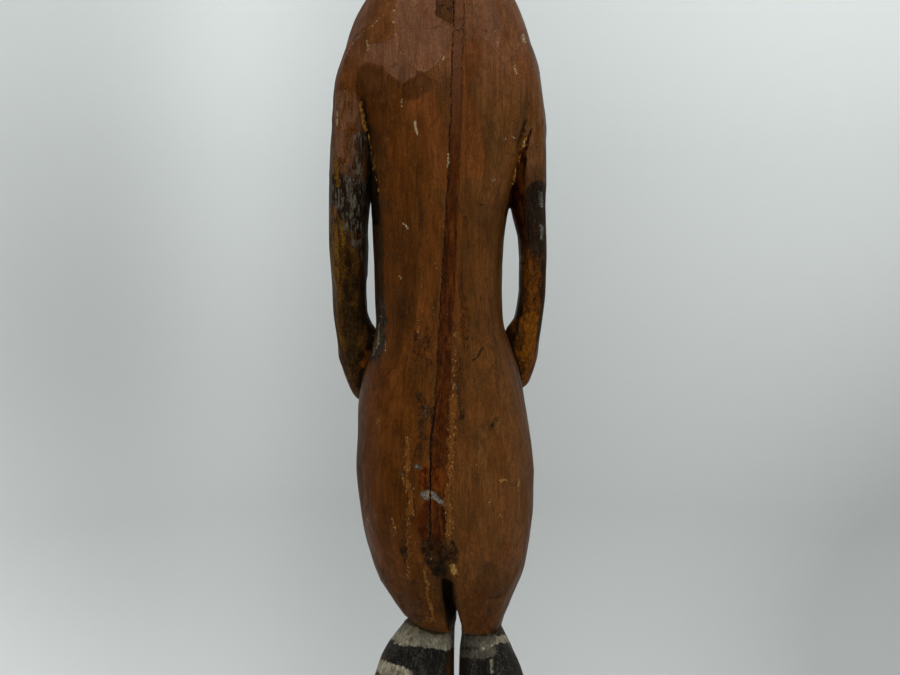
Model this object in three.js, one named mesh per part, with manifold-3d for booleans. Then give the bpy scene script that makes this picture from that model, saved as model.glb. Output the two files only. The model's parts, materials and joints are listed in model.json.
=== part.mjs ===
// A standing figure carved from one log of soft wood: sloping shoulders, arms held down beside an
// open waist with the hands laid on the front of the hips, heavy tapering thighs, and flaring calves.
// Millimetres, +Z up, +X to the figure's own left, and the face looks along -Y. The soles stand on Z = 0.
// The log is cut into solids where the carver changed form, with a saw cut's clearance between them.
import * as THREE from "three";
import { mergeVertices, toCreasedNormals } from "three/addons/utils/BufferGeometryUtils.js";
import Module from "manifold-3d";

const wasm = await Module();
wasm.setup();

// Driving dimensions.
const CLEARANCE = 0.3; // between neighbouring solids
const SOLE_Z = 0;
const ANKLE_Z = 24; // top of the foot
const KNEE_Z = 130; // where the thighs end over the calves
const HIP_Z = 262; // where the hips end and the torso starts
const WRIST_Z = 290; // where the arms end over the hands
const SHOULDER_Z = 436; // where the arms leave the shoulders
const NECK_Z = 509; // base of the neck
const CHIN_Z = 522; // top of the neck
const CROWN_Z = 644; // top of the hair
const HAIR_RISE = 2; // how far the hair stands above the skull
const CREASE = Math.PI / 5; // edges sharper than this are drawn sharp
const BODY_SIDES = 30; // corners round the trunk's sections
const LIMB_SIDES = 18;

const paint = (colour, roughness = 0.7) =>
  new THREE.MeshStandardMaterial({ color: colour, roughness, metalness: 0 });
const redOchre = paint(0x6b3d22);
const armPaint = paint(0x4a3416);
const calfPaint = paint(0x5c574d);
const hairBlack = paint(0x241d19, 0.8);

// ---------------------------------------------------------------- solids

// A geometry as a manifold-3d solid.
function solidOf(geometry) {
  const bare = geometry.index ? geometry.toNonIndexed() : geometry.clone();
  bare.deleteAttribute("normal");
  bare.deleteAttribute("uv");
  const merged = mergeVertices(bare, 1e-4);
  return new wasm.Manifold(
    new wasm.Mesh({
      numProp: 3,
      vertProperties: new Float32Array(merged.attributes.position.array),
      triVerts: new Uint32Array(merged.index.array),
    }),
  );
}

// A manifold-3d solid as a geometry.
function geometryOf(solid) {
  const mesh = solid.getMesh();
  const geometry = new THREE.BufferGeometry();
  geometry.setAttribute(
    "position",
    new THREE.BufferAttribute(new Float32Array(mesh.vertProperties), 3),
  );
  geometry.setIndex(new THREE.BufferAttribute(new Uint32Array(mesh.triVerts), 1));
  return toCreasedNormals(geometry, CREASE);
}

// A closed column through rounded sections, lowest first. A section is
// [z, right, left, front, back, squareness]: its height, its two limits in X, its two limits in Y,
// and the exponent of its superellipse, 2 for an ellipse. The sections between are splined.
function column(sections, { rings, sides = LIMB_SIDES, grow = 0 }) {
  const across = new THREE.CatmullRomCurve3(
    sections.map(([z, right, left]) => new THREE.Vector3(right - grow, left + grow, z)),
    false,
    "catmullrom",
  );
  const deep = new THREE.CatmullRomCurve3(
    sections.map(([, , , front, back, square]) => new THREE.Vector3(front - grow, back + grow, square)),
    false,
    "catmullrom",
  );
  const points = [];
  for (let i = 0; i <= rings; i++) {
    const { x: right, y: left, z } = across.getPoint(i / rings);
    const { x: front, y: back, z: square } = deep.getPoint(i / rings);
    const level = z + (i === 0 ? -grow : i === rings ? grow : 0);
    for (let k = 0; k < sides; k++) {
      const angle = (2 * Math.PI * k) / sides;
      const round = (value) => Math.sign(value) * Math.abs(value) ** (2 / square);
      points.push(
        (right + left) / 2 + ((left - right) / 2) * round(Math.cos(angle)),
        (front + back) / 2 + ((back - front) / 2) * round(Math.sin(angle)),
        level,
      );
    }
  }
  const faces = [];
  for (let i = 0; i < rings; i++) {
    for (let k = 0; k < sides; k++) {
      const a = i * sides + k;
      const b = i * sides + ((k + 1) % sides);
      faces.push(a, b, b + sides, a, b + sides, a + sides);
    }
  }
  const last = rings * sides;
  for (let k = 1; k < sides - 1; k++) {
    faces.push(0, k + 1, k);
    faces.push(last, last + k, last + k + 1);
  }
  const geometry = new THREE.BufferGeometry();
  geometry.setAttribute("position", new THREE.Float32BufferAttribute(points, 3));
  geometry.setIndex(faces);
  return solidOf(geometry);
}

// An egg of the given half sizes.
function egg(x, y, z, halfX, halfY, halfZ) {
  const geometry = new THREE.SphereGeometry(1, 16, 10);
  geometry.scale(halfX, halfY, halfZ);
  geometry.translate(x, y, z);
  return solidOf(geometry);
}

// What lies above and below a level, each pulled back by half the clearance.
const above = (solid, level) => solid.trimByPlane([0, 0, 1], level + CLEARANCE / 2);
const below = (solid, level) => solid.trimByPlane([0, 0, -1], -level + CLEARANCE / 2);

const group = new THREE.Group();
function add(name, solid, material) {
  const mesh = new THREE.Mesh(geometryOf(solid), material);
  mesh.name = name;
  group.add(mesh);
}

// ---------------------------------------------------------------- trunk

// The trunk from the knees to the base of the neck. The waist is hollowed on both sides, and the
// back widens upwards into shoulders that stand out over the arms.
const trunkSections = [
  [122, -27, 7, -16, 12, 2.1],
  [127, -33.5, 13.5, -21, 18, 2.1],
  [134, -37, 18, -25, 23, 2.1],
  [145, -41.8, 25.5, -28, 28.5, 2.1],
  [162, -48.1, 36, -32, 36, 2.2],
  [180, -52.2, 41.8, -36, 42, 2.2],
  [197, -54, 45.2, -39, 45, 2.3],
  [215, -54.5, 47.5, -42, 45.5, 2.3],
  [241, -52.2, 47, -45, 42, 2.3],
  [262, -49.3, 47.6, -45, 37.5, 2.3],
  [278, -47, 42.5, -44, 34, 2.3],
  [290, -43, 38, -42, 31.5, 2.3],
  [302, -39, 36.5, -40, 29, 2.3],
  [319, -37.5, 36.8, -38, 27, 2.4],
  [336, -37.3, 37, -36, 26.5, 2.4],
  [353, -38, 36.8, -35, 27, 2.5],
  [371, -40.5, 36.5, -35, 28.5, 2.6],
  [388, -45, 37, -36, 30, 2.7],
  [406, -51, 38.8, -37, 31.5, 2.7],
  [423, -56.5, 43, -38, 33, 2.7],
  [441, -59, 50.5, -38, 33.5, 2.6],
  [454, -56.8, 55.5, -37, 33, 2.5],
  [467, -53.4, 53.9, -35, 31.5, 2.4],
  [480, -49.5, 48.5, -33, 30, 2.3],
  [493, -43.5, 41.8, -30, 28, 2.2],
  [506, -33, 32, -27, 25, 2.2],
  [515, -24, 23.5, -24, 22, 2.1],
];
const trunkAt = (grow) => column(trunkSections, { rings: 42, sides: BODY_SIDES, grow });
const trunk = trunkAt(0);
const trunkCutter = trunkAt(CLEARANCE);

// The cleft between the legs: wide and high at the back, a straight narrow gap at the front.
function cleft() {
  const corners = [
    [-4, 70, 151],
    [-9, 70, 151],
    [-19, 70, 10],
    [-5, 70, 10],
    [-9.3, -70, 134],
    [-13.3, -70, 134],
    [-13.3, -70, 10],
    [-9.3, -70, 10],
  ].map(([x, y, z]) => new THREE.Vector3(x, y, z));
  const quads = [
    [0, 1, 2, 3],
    [7, 6, 5, 4],
    [4, 5, 1, 0],
    [5, 6, 2, 1],
    [6, 7, 3, 2],
    [7, 4, 0, 3],
  ];
  const geometry = new THREE.BufferGeometry().setFromPoints(corners);
  geometry.setIndex(quads.flatMap(([a, b, c, d]) => [a, c, b, a, d, c]));
  return solidOf(geometry);
}
const legCleft = cleft();

const thighs = below(trunk, HIP_Z).subtract(legCleft);
add("hips_and_thighs", thighs, redOchre);

// ---------------------------------------------------------------- arms and hands

// The arms start under the shoulders, hang clear of the waist, and come forward to the hips.
const leftArmSections = [
  [262, 41, 48.5, -36, -20, 2.1],
  [268, 38, 52, -38, -14, 2.2],
  [278, 36, 55.2, -37, -8, 2.3],
  [290, 36.5, 58.2, -34, -2, 2.3],
  [302, 39, 60.3, -31, 1, 2.4],
  [319, 42, 62, -28, 4, 2.5],
  [336, 42.3, 62.7, -26, 6, 2.5],
  [353, 42, 63.4, -24, 8, 2.5],
  [371, 41, 63.8, -23, 10, 2.5],
  [388, 40.3, 63.7, -22.5, 12, 2.5],
  [406, 39.5, 63.2, -22, 14, 2.5],
  [423, 38.5, 62.4, -22, 15, 2.5],
  [441, 37.5, 60.9, -21, 15, 2.4],
  [455, 36, 58.2, -19, 14, 2.3],
  [466, 34, 54.5, -16, 12, 2.2],
];
const rightArmSections = [
  [269, -51.5, -44, -35, -19, 2.1],
  [275, -54, -41, -37, -13, 2.2],
  [284, -56, -39, -36, -7, 2.3],
  [294, -57.8, -39, -33, -2, 2.3],
  [304, -59, -41, -30, 1, 2.4],
  [319, -60.3, -44.6, -28, 4, 2.5],
  [336, -61.3, -45.6, -26, 6, 2.5],
  [353, -61.6, -45, -24, 8, 2.5],
  [371, -61.7, -42, -23, 10, 2.5],
  [388, -62, -40, -22.5, 12, 2.5],
  [406, -62, -39, -22, 14, 2.5],
  [423, -61.4, -38, -22, 15, 2.5],
  [441, -59.8, -37, -21, 15, 2.4],
  [455, -57.4, -36, -19, 14, 2.3],
  [466, -53.5, -34, -16, 12, 2.2],
];

// A hand, laid from the wrist towards the middle of the front and hugging the hip's corner.
function hand(side, wristX, z) {
  const sections = [
    [0, -8, 8, -6, 6, 2.3],
    [9, -9.5, 9.5, -6.5, 6, 2.4],
    [20, -11, 11, -6.5, 5.5, 2.5],
    [30, -10.5, 10.5, -5.5, 5, 2.6],
    [39, -8.5, 8.5, -4, 4, 2.6],
  ];
  const REACH = new THREE.Vector3(-side * 30, -25, -2).normalize();
  const up = new THREE.Vector3(0, 0, 1);
  const outward = new THREE.Vector3().crossVectors(up, REACH).multiplyScalar(-side).normalize();
  const across = new THREE.Vector3().crossVectors(outward, REACH).normalize();
  const turn = new THREE.Matrix4().makeBasis(across, outward, REACH);
  turn.setPosition(wristX, -25, z);
  const geometry = geometryOf(column(sections, { rings: 10, sides: 16 }));
  geometry.applyMatrix4(turn);
  return solidOf(geometry);
}

const shoulders = [];
for (const [name, side, sections, wristX, wristZ] of [
  ["left", 1, leftArmSections, 49, 274],
  ["right", -1, rightArmSections, -51, 281],
]) {
  const limb = column(sections, { rings: 22 }).add(hand(side, wristX, wristZ));
  const hanging = below(limb, SHOULDER_Z).subtract(trunkCutter);
  add(`${name}_arm`, above(hanging, WRIST_Z), armPaint);
  add(`${name}_hand`, below(hanging, WRIST_Z), armPaint);
  shoulders.push(above(limb, SHOULDER_Z));
}

// Breasts, belly and navel stand on the front of the torso.
const breast = (side) => egg(side * 20, -34, 420, 13, 14, 17);
const belly = egg(-1, -29, 312, 27, 17, 34);
const navel = egg(-1, -46.5, 316, 3.8, 3, 3.8);
const torso = [...shoulders, breast(1), breast(-1), belly, navel].reduce(
  (form, piece) => form.add(piece),
  trunk,
);
add("torso", below(above(torso, HIP_Z), NECK_Z), redOchre);


// ---------------------------------------------------------------- calves and feet

const leftCalfSections = [
  [10, -7, 27, -24, 17, 2.3],
  [24, -5, 24.5, -18, 14, 2.2],
  [38, -5, 25, -15, 14, 2.2],
  [60, -8, 32.5, -16, 21, 2.2],
  [85, -9.3, 38, -18, 27, 2.3],
  [102, -9.3, 36.5, -19, 26, 2.3],
  [119, -9.3, 28.9, -18.5, 20, 2.2],
  [130, -9.3, 20.5, -17, 14, 2.2],
  [138, -9, 15, -15, 10, 2.1],
];
const rightCalfSections = [
  [10, -45, -13, -24, 17, 2.3],
  [24, -42.5, -14.5, -18, 14, 2.2],
  [38, -42.5, -14.5, -15, 14, 2.2],
  [60, -48, -13.8, -16, 21, 2.2],
  [85, -52, -13.3, -18, 27, 2.3],
  [102, -48.8, -13.3, -19, 26, 2.3],
  [119, -41.7, -13.3, -18.5, 20, 2.2],
  [130, -36, -13.5, -17, 14, 2.2],
  [138, -31, -14, -15, 10, 2.1],
];

// A flat-soled foot, wider at the toes than at the heel.
function foot(middle, width) {
  const half = width / 2;
  const outline = new THREE.Shape();
  outline.moveTo(-half * 0.72, 24);
  outline.quadraticCurveTo(0, 33, half * 0.72, 24);
  outline.bezierCurveTo(half * 0.8, 5, half * 0.95, -15, half, -42);
  outline.quadraticCurveTo(0, -60, -half, -42);
  outline.bezierCurveTo(-half * 0.95, -15, -half * 0.8, 5, -half * 0.72, 24);
  const slab = new THREE.ExtrudeGeometry(outline, {
    depth: ANKLE_Z - SOLE_Z,
    bevelEnabled: false,
    curveSegments: 7,
  });
  slab.translate(middle, 0, SOLE_Z);
  // The instep falls from the ankle to the toes.
  const INSTEP_SLOPE = 0.34;
  const TOE_THICKNESS = 9;
  const TOE_Y = -50;
  const normal = [0, INSTEP_SLOPE, -1];
  const offset = INSTEP_SLOPE * TOE_Y - TOE_THICKNESS;
  return solidOf(slab).trimByPlane(normal, offset);
}

for (const [name, sections, middle, width] of [
  ["left", leftCalfSections, 11.5, 35],
  ["right", rightCalfSections, -30.5, 33],
]) {
  const calf = column(sections, { rings: 16 }).subtract(trunkCutter);
  add(`${name}_calf`, above(calf, ANKLE_Z), calfPaint);
  add(`${name}_foot`, below(foot(middle, width), ANKLE_Z), calfPaint);
}

// ---------------------------------------------------------------- neck and head

const headSections = [
  [514, -18, 18, -20, 17, 2.0],
  [524, -25, 25, -37, 22, 2.0],
  [536, -30.5, 30.5, -45, 27, 2.1],
  [552, -35, 35, -47, 32, 2.2],
  [572, -38.5, 38.5, -46, 36, 2.2],
  [592, -39, 39, -43, 38, 2.2],
  [609, -36, 36, -38, 36, 2.1],
  [622, -30, 30, -31, 31, 2.0],
  [632, -22, 22, -22, 23, 2.0],
  [638, -14.5, 14.5, -14, 16, 2.0],
  [CROWN_Z - HAIR_RISE, -5, 5, -5, 6, 2.0],
];
const neckSections = [
  [500, -24, 24, -24, 22, 2.1],
  [510, -23, 23, -23, 21, 2.1],
  [522, -21, 21, -21, 19, 2.0],
  [534, -20, 20, -18, 18, 2.0],
];
const HAIRLINE = { normal: [0, 0.52, 0.854], offset: 488 }; // slants from the brow to the nape

const skull = column(headSections, { rings: 18, sides: 24 });
const skullCutter = column(headSections, { rings: 18, sides: 24, grow: CLEARANCE });
const hairForm = column(headSections, { rings: 18, sides: 24, grow: HAIR_RISE });

add("neck", above(below(column(neckSections, { rings: 8 }), CHIN_Z + 8), NECK_Z).subtract(skullCutter), redOchre);

// The nose is a long wedge that widens down to the nostrils, under a brow that arches over both eyes.
const noseSections = [
  [556, -7, 7, -58, -40, 2.2],
  [561, -7.5, 7.5, -58.5, -40, 2.2],
  [570, -5, 5, -56.5, -40, 2.3],
  [584, -3.5, 3.5, -51.5, -38, 2.3],
  [594, -4, 4, -47, -36, 2.2],
];
const nose = column(noseSections, { rings: 10, sides: 16 });
const brow = (side) => egg(side * 17, -39, 590, 16, 7, 4.5);
const eye = (side) => egg(side * 16.5, -43.5, 573, 9, 4, 3.8);
const mouth = egg(0, -46, 541.5, 9.5, 4, 3.2);
const face = [nose, brow(1), brow(-1), eye(1), eye(-1), mouth].reduce((form, piece) => form.add(piece), skull);
const hairPlane = (lift) => HAIRLINE.offset + lift;
add(
  "head",
  face.trimByPlane(
    HAIRLINE.normal.map((n) => -n),
    -hairPlane(-CLEARANCE / 2),
  ),
  redOchre,
);
add("hair_cap", hairForm.trimByPlane(HAIRLINE.normal, hairPlane(CLEARANCE / 2)).subtract(nose), hairBlack);

// The ears are upright lugs on the sides of the skull.
for (const [name, side] of [
  ["left", 1],
  ["right", -1],
]) {
  const ear = egg(side * 38, -1, 566, 6, 7.5, 14).subtract(skullCutter);
  add(`${name}_ear`, ear.trimByPlane(HAIRLINE.normal.map((n) => -n), -hairPlane(-CLEARANCE / 2)), redOchre);
}

// Centre the figure's box over the origin.
const box = new THREE.Box3().setFromObject(group);
const middle = box.getCenter(new THREE.Vector3());
group.position.set(-middle.x, -middle.y, 0);

export default group;
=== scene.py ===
"""A standing figure carved from one log and painted in earth colours, seen from behind.

The carving is one continuous surface. It is shaped as a field of distances in millimetres, meshed,
cut with knife facets, and then parted into the pieces that stand for the frame's nodes. The shaping
uses the frame's millimetres, moved so that X = 0 is the middle of the head and Y = 0 its ears.
"""

import json
import math

import bpy
import numpy as np
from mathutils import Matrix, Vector

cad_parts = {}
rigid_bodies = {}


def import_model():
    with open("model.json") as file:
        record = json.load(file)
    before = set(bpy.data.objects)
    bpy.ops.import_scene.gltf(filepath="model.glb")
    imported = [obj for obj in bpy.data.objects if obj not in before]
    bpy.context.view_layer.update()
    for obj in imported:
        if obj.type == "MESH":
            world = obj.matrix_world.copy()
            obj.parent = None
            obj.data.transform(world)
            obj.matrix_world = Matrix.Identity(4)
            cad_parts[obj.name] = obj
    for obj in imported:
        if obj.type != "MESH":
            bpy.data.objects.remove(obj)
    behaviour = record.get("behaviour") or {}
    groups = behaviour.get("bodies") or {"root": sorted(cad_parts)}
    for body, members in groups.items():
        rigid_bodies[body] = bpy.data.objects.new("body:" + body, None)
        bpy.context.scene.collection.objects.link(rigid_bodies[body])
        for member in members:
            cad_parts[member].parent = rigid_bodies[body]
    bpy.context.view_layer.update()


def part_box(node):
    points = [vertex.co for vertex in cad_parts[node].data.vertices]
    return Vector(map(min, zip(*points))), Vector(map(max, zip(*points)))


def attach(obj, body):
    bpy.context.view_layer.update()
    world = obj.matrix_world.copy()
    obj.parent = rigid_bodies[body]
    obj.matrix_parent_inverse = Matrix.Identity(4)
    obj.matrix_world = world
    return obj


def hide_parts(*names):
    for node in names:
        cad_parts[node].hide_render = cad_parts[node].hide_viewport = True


for leftover in list(bpy.data.objects):
    bpy.data.objects.remove(leftover, do_unlink=True)
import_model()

# ---- the frame's place

FOOT_MIDDLE_X, HEEL_Y = 11.5, 28.43
foot_low, foot_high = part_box("left_foot")
SHIFT = np.array(
    [500 * (foot_low[0] + foot_high[0]) - FOOT_MIDDLE_X, 1000 * foot_high[1] - HEEL_Y, 0.0]
)


def to_frame(points):
    """Shaping millimetres to the frame's metres."""
    return (np.asarray(points, float) + SHIFT) / 1000


# ---- distance field

VOXEL = 1.1
LOW = np.array([-70.0, -64.0, -5.0])
HIGH = np.array([70.0, 54.0, 652.0])
COUNT = np.ceil((HIGH - LOW) / VOXEL).astype(int) + 1
AXES = [(LOW[a] + VOXEL * np.arange(COUNT[a])).astype(np.float32) for a in range(3)]
X = AXES[0][:, None, None]
Y = AXES[1][None, :, None]
Z = AXES[2][None, None, :]

# Each piece and its kind of paint; each kind gets a material of its own below.
PAINTS = {
    "torso": "back", "hips_and_thighs": "back", "left_arm": "arm", "right_arm": "arm",
    "left_hand": "arm", "right_hand": "arm", "left_calf": "calf", "right_calf": "calf",
    "left_foot": "calf", "right_foot": "calf", "neck": "body", "head": "body",
    "left_ear": "body", "right_ear": "body", "hair_cap": "hair",
}
PIECES = list(PAINTS)
LABEL = {name: number for number, name in enumerate(PIECES)}

field = np.full(COUNT, 40.0, np.float32)
owner = np.zeros(COUNT, np.int8)


def window(low, high, margin=9.0):
    """The grid's slices that cover a box, with room for blends."""
    slices = []
    for axis in range(3):
        first = int(max(0, (low[axis] - margin - LOW[axis]) // VOXEL))
        last = int(min(COUNT[axis], (high[axis] + margin - LOW[axis]) // VOXEL + 2))
        slices.append(slice(first, last))
    return tuple(slices)


def inside_of(win):
    return X[win[0]], Y[:, win[1]], Z[:, :, win[2]]


def smooth_min(a, b, soft):
    near = np.maximum(soft - np.abs(a - b), 0) / soft
    return np.minimum(a, b) - near * near * soft / 4


def smooth_max(a, b, soft):
    return -smooth_min(-a, -b, soft)


def join(shape, soft, name=None):
    """Adds a shape to the carving, blended over the given width."""
    win, distance = shape
    old = field[win]
    if name is not None:
        mine = np.broadcast_to(distance < old, old.shape)
        owner[win] = np.where(mine, LABEL[name], owner[win])
    field[win] = smooth_min(old, distance, soft)


def carve(shape, soft):
    """Takes a shape away from the carving."""
    win, distance = shape
    field[win] = smooth_max(field[win], -distance, soft)


def spline(at, knots, values):
    """A smooth curve through values at knots."""
    slopes = np.gradient(values, knots)
    k = np.clip(np.searchsorted(knots, at) - 1, 0, len(knots) - 2)
    step = knots[k + 1] - knots[k]
    t = np.clip((at - knots[k]) / step, 0, 1)
    return (
        values[k] * (1 + 2 * t) * (1 - t) ** 2
        + values[k + 1] * t * t * (3 - 2 * t)
        + step * slopes[k] * t * (1 - t) ** 2
        - step * slopes[k + 1] * t * t * (1 - t)
    )


def section_distance(u, v, half_u, half_v, square):
    """Distance to a superellipse of the given half widths and exponent."""
    u, v = np.abs(u), np.abs(v)
    pu = (u / half_u) ** (square - 1)
    pv = (v / half_v) ** (square - 1)
    ring = np.maximum(pu * u / half_u + pv * v / half_v, 1e-6) ** (1 / square)
    slope = ring ** (1 - square) * np.sqrt((pu / half_u) ** 2 + (pv / half_v) ** 2)
    return (ring - 1) / np.maximum(slope, 1e-3)


def loft(rows, end_soft=4.0, grow=0.0, along=2):
    """A column through [height, low u, high u, low v, high v, squareness] sections.

    Along 2 rises in Z with u = X and v = Y; along 1 runs in Y with u = X and v = Z.
    """
    rows = np.array(rows, float)
    order = np.argsort(rows[:, 0])
    rows = rows[order]
    knots = rows[:, 0]
    third = 3 - along
    low, high = np.zeros(3), np.zeros(3)
    low[along], high[along] = knots[0], knots[-1]
    low[0], high[0] = rows[:, 1].min() - grow, rows[:, 2].max() + grow
    low[third], high[third] = rows[:, 3].min() - grow, rows[:, 4].max() + grow
    win = window(low, high)
    axes = inside_of(win)
    at = axes[along]
    low_u, high_u, low_v, high_v, square = (
        spline(at, knots, rows[:, c]).astype(np.float32) for c in range(1, 6)
    )
    distance = section_distance(
        axes[0] - (low_u + high_u) / 2, axes[third] - (low_v + high_v) / 2,
        (high_u - low_u) / 2 + grow, (high_v - low_v) / 2 + grow, square
    )
    distance = smooth_max(distance, knots[0] - grow - at, end_soft)
    return win, smooth_max(distance, at - knots[-1] - grow, end_soft)


def turned(degrees, axis):
    """A rotation matrix about one axis."""
    c, s = math.cos(math.radians(degrees)), math.sin(math.radians(degrees))
    a, b = [(1, 2), (2, 0), (0, 1)][axis]
    matrix = np.eye(3)
    matrix[a, a], matrix[a, b], matrix[b, a], matrix[b, b] = c, -s, s, c
    return matrix


def egg(centre, radii, turn=None):
    """An ellipsoid."""
    radii, centre = np.array(radii, float), np.array(centre, float)
    span = radii if turn is None else np.full(3, radii.max())
    win = window(centre - span, centre + span, margin=6)
    x, y, z = inside_of(win)
    offset = [x - centre[0], y - centre[1], z - centre[2]]
    if turn is not None:
        offset = [sum(turn[b, a] * offset[b] for b in range(3)) for a in range(3)]
    one = sum((offset[a] / radii[a]) ** 2 for a in range(3))
    two = sum((offset[a] / radii[a] ** 2) ** 2 for a in range(3))
    one = np.sqrt(np.maximum(one, 1e-9))
    return win, one * (one - 1) / np.sqrt(np.maximum(two, 1e-9))


def finger(start, end, start_r, end_r):
    """A round bar between two points, with a radius at each."""
    start, end = np.array(start, float), np.array(end, float)
    reach = max(start_r, end_r)
    win = window(np.minimum(start, end) - reach, np.maximum(start, end) + reach, margin=5)
    x, y, z = inside_of(win)
    run = end - start
    t = (x - start[0]) * run[0] + (y - start[1]) * run[1] + (z - start[2]) * run[2]
    t = np.clip(t / (run @ run), 0, 1)
    gap = np.sqrt(
        (x - start[0] - t * run[0]) ** 2
        + (y - start[1] - t * run[1]) ** 2
        + (z - start[2] - t * run[2]) ** 2
    )
    return win, gap - (start_r + t * (end_r - start_r))


# ---- shaping the body

TRUNK = [
    [124, -35, 14.5, -20, 17, 2.2], [134, -37.3, 18, -25, 23, 2.2],
    [145, -41.8, 25.5, -28, 28.5, 2.1], [162, -48.1, 35.1, -32, 36, 2.2],
    [180, -52.2, 40.3, -36, 42, 2.2], [197, -54, 43.5, -39, 45, 2.3],
    [215, -54.9, 46.1, -42, 45.5, 2.3], [241, -53.4, 46.2, -45, 42, 2.3],
    [262, -50.3, 45.7, -45, 37.5, 2.3], [278, -47, 42.5, -44, 34, 2.3],
    [290, -43, 38.5, -42, 31.5, 2.3], [302, -39.1, 36.5, -40, 29, 2.3],
    [319, -37.6, 36.8, -38, 27, 2.4], [336, -37.5, 37, -36, 26.5, 2.4],
    [353, -38.2, 37.6, -35, 27, 2.5], [371, -40.8, 38.2, -35, 28.5, 2.6],
    [388, -45.3, 39.6, -36, 30, 2.7], [406, -51.4, 40.2, -37, 31.5, 2.7],
    [423, -56.5, 43, -38, 33, 2.7], [441, -59, 49.3, -38, 33.5, 2.6],
    [454, -56.4, 53.3, -37, 33, 2.5], [467, -53.6, 52.1, -35, 31.5, 2.4],
    [480, -49.5, 47.5, -33, 30, 2.3], [493, -43.5, 40.3, -30, 28, 2.2],
    [506, -33, 31, -27, 25, 2.2], [515, -24, 22.5, -24, 22, 2.1]
]
LEFT_ARM = [
    [258.5, 42, 49, -36, -20, 2.1], [265, 39, 52.5, -38, -14, 2.2], [276, 37, 57, -37, -8, 2.3],
    [289, 36.5, 59.8, -34, -2, 2.3], [301, 37, 60.9, -31, 1, 2.4], [306, 40.2, 61.3, -30, 2.5, 2.4],
    [319, 42, 61.7, -28, 6, 2.5], [336, 42, 62.2, -26, 10, 2.5], [353, 41.2, 62.8, -24, 13, 2.5],
    [364, 41.4, 62.8, -23.5, 14, 2.5], [371, 40.8, 62.8, -23, 15, 2.5],
    [388, 38.6, 62.4, -22.5, 17, 2.5], [406, 38.2, 61.7, -22, 19, 2.5],
    [423, 38, 60.6, -22, 20, 2.5], [441, 37.5, 59.4, -21, 20, 2.4], [455, 36, 56, -19, 18, 2.3],
    [466, 34, 52.7, -16, 15, 2.2]
]
RIGHT_ARM = [
    [266, -52.4, -46, -35, -19, 2.1], [272.6, -55.2, -43.4, -37, -13, 2.2],
    [282.5, -58.3, -41.2, -36, -7, 2.3], [294, -60.1, -40.6, -33, -2, 2.3],
    [303, -61.2, -40.8, -30, 1, 2.4], [309, -61.8, -44.6, -29, 3, 2.4],
    [319, -62.6, -47, -28, 6, 2.5], [336, -63.2, -47.7, -26, 10, 2.5],
    [353, -62.9, -47.1, -24, 13, 2.5], [371, -62.6, -42.8, -23, 15, 2.5],
    [388, -62.8, -40.5, -22.5, 17, 2.5], [406, -62.7, -39, -22, 19, 2.5],
    [423, -61.9, -38, -22, 20, 2.5], [441, -59.9, -37, -21, 20, 2.4],
    [455, -57.4, -36, -19, 18, 2.3], [466, -53.5, -34, -16, 15, 2.2]
]
# Height, the left calf's low and high u, the right calf's, low v, high v, squareness.
CALVES = [
    [14, -5, 25, -43, -14, -19, 17, 2.3], [24, -5, 24.5, -42.5, -14.5, -18, 14, 2.2],
    [38, -5, 25, -42.5, -14.5, -15, 14, 2.2], [60, -8, 32.5, -48, -13.8, -16, 21, 2.2],
    [85, -9.3, 38, -52, -12, -18, 27, 2.3], [102, -9.3, 36.5, -48.8, -12, -19, 26, 2.3],
    [119, -9.3, 28.9, -41.7, -12.4, -18.5, 20, 2.2], [130, -9.3, 20.5, -36, -13.5, -17, 14, 2.2],
    [138, -9, 15, -31, -14, -15, 10, 2.1]
]
HIP_Z, WRIST_Z, SHOULDER_Z, ANKLE_Z = 262, 290, 436, 24

trunk_win, trunk = loft(TRUNK, end_soft=3)
trunk_x, _, trunk_z = inside_of(trunk_win)
THIGH_END = 130.6 + 0.12 * (trunk_x + 9)  # the left thigh stops higher than the right
trunk = smooth_max(trunk, THIGH_END - trunk_z, 6)
join((trunk_win, trunk), 1, "torso")


def leg_gap():
    """The gap between the legs: high and wide at the back, a straight slot at the front."""
    win = window([-20, -64, -5], [2, 54, 172], margin=6)
    x, y, z = inside_of(win)
    right = np.interp(
        z, [100, 118, 128, 136, 145, 152, 168], [-12.3, -12.8, -13.9, -13.7, -11.5, -9.2, -8]
    )
    left = np.interp(z, [0, 100, 130, 143, 152, 168], [-9, -7.5, -6, -4.8, -3.4, -2.2])
    back = np.clip((y + 6) / 26, 0, 1)
    left = -10.6 + (left + 10.6) * back
    rise = np.clip((y + 2) / 34, 0, 1)
    ceiling = 139 + 27 * rise * rise * (3 - 2 * rise)
    slot = np.maximum(right - x, x - left)
    return win, smooth_max(slot, z - ceiling, 3.5).astype(np.float32)


for name, first in (("left_calf", 1), ("right_calf", 3)):
    rows = [[row[0], *row[first : first + 2], *row[5:]] for row in CALVES]
    join(loft(rows, end_soft=5), 2, name)
uncut = field.copy()
carve(leg_gap(), 1.4)

# Front of the trunk: breasts, belly, navel.
for side in (-1, 1):
    join(egg([side * 20, -34, 420], [13, 15, 17]), 5, "torso")
    join(egg([side * 20.5, -49.2, 416], [2.6, 2.6, 2.6]), 1.6, "torso")
join(egg([-1, -29, 312], [27, 18, 36]), 14, "torso")
carve(egg([-1, -50, 316], [6.5, 4.4, 6.5]), 2)
join(egg([-1, -46.2, 316], [3.4, 3, 3.6]), 1.2, "torso")

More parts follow.
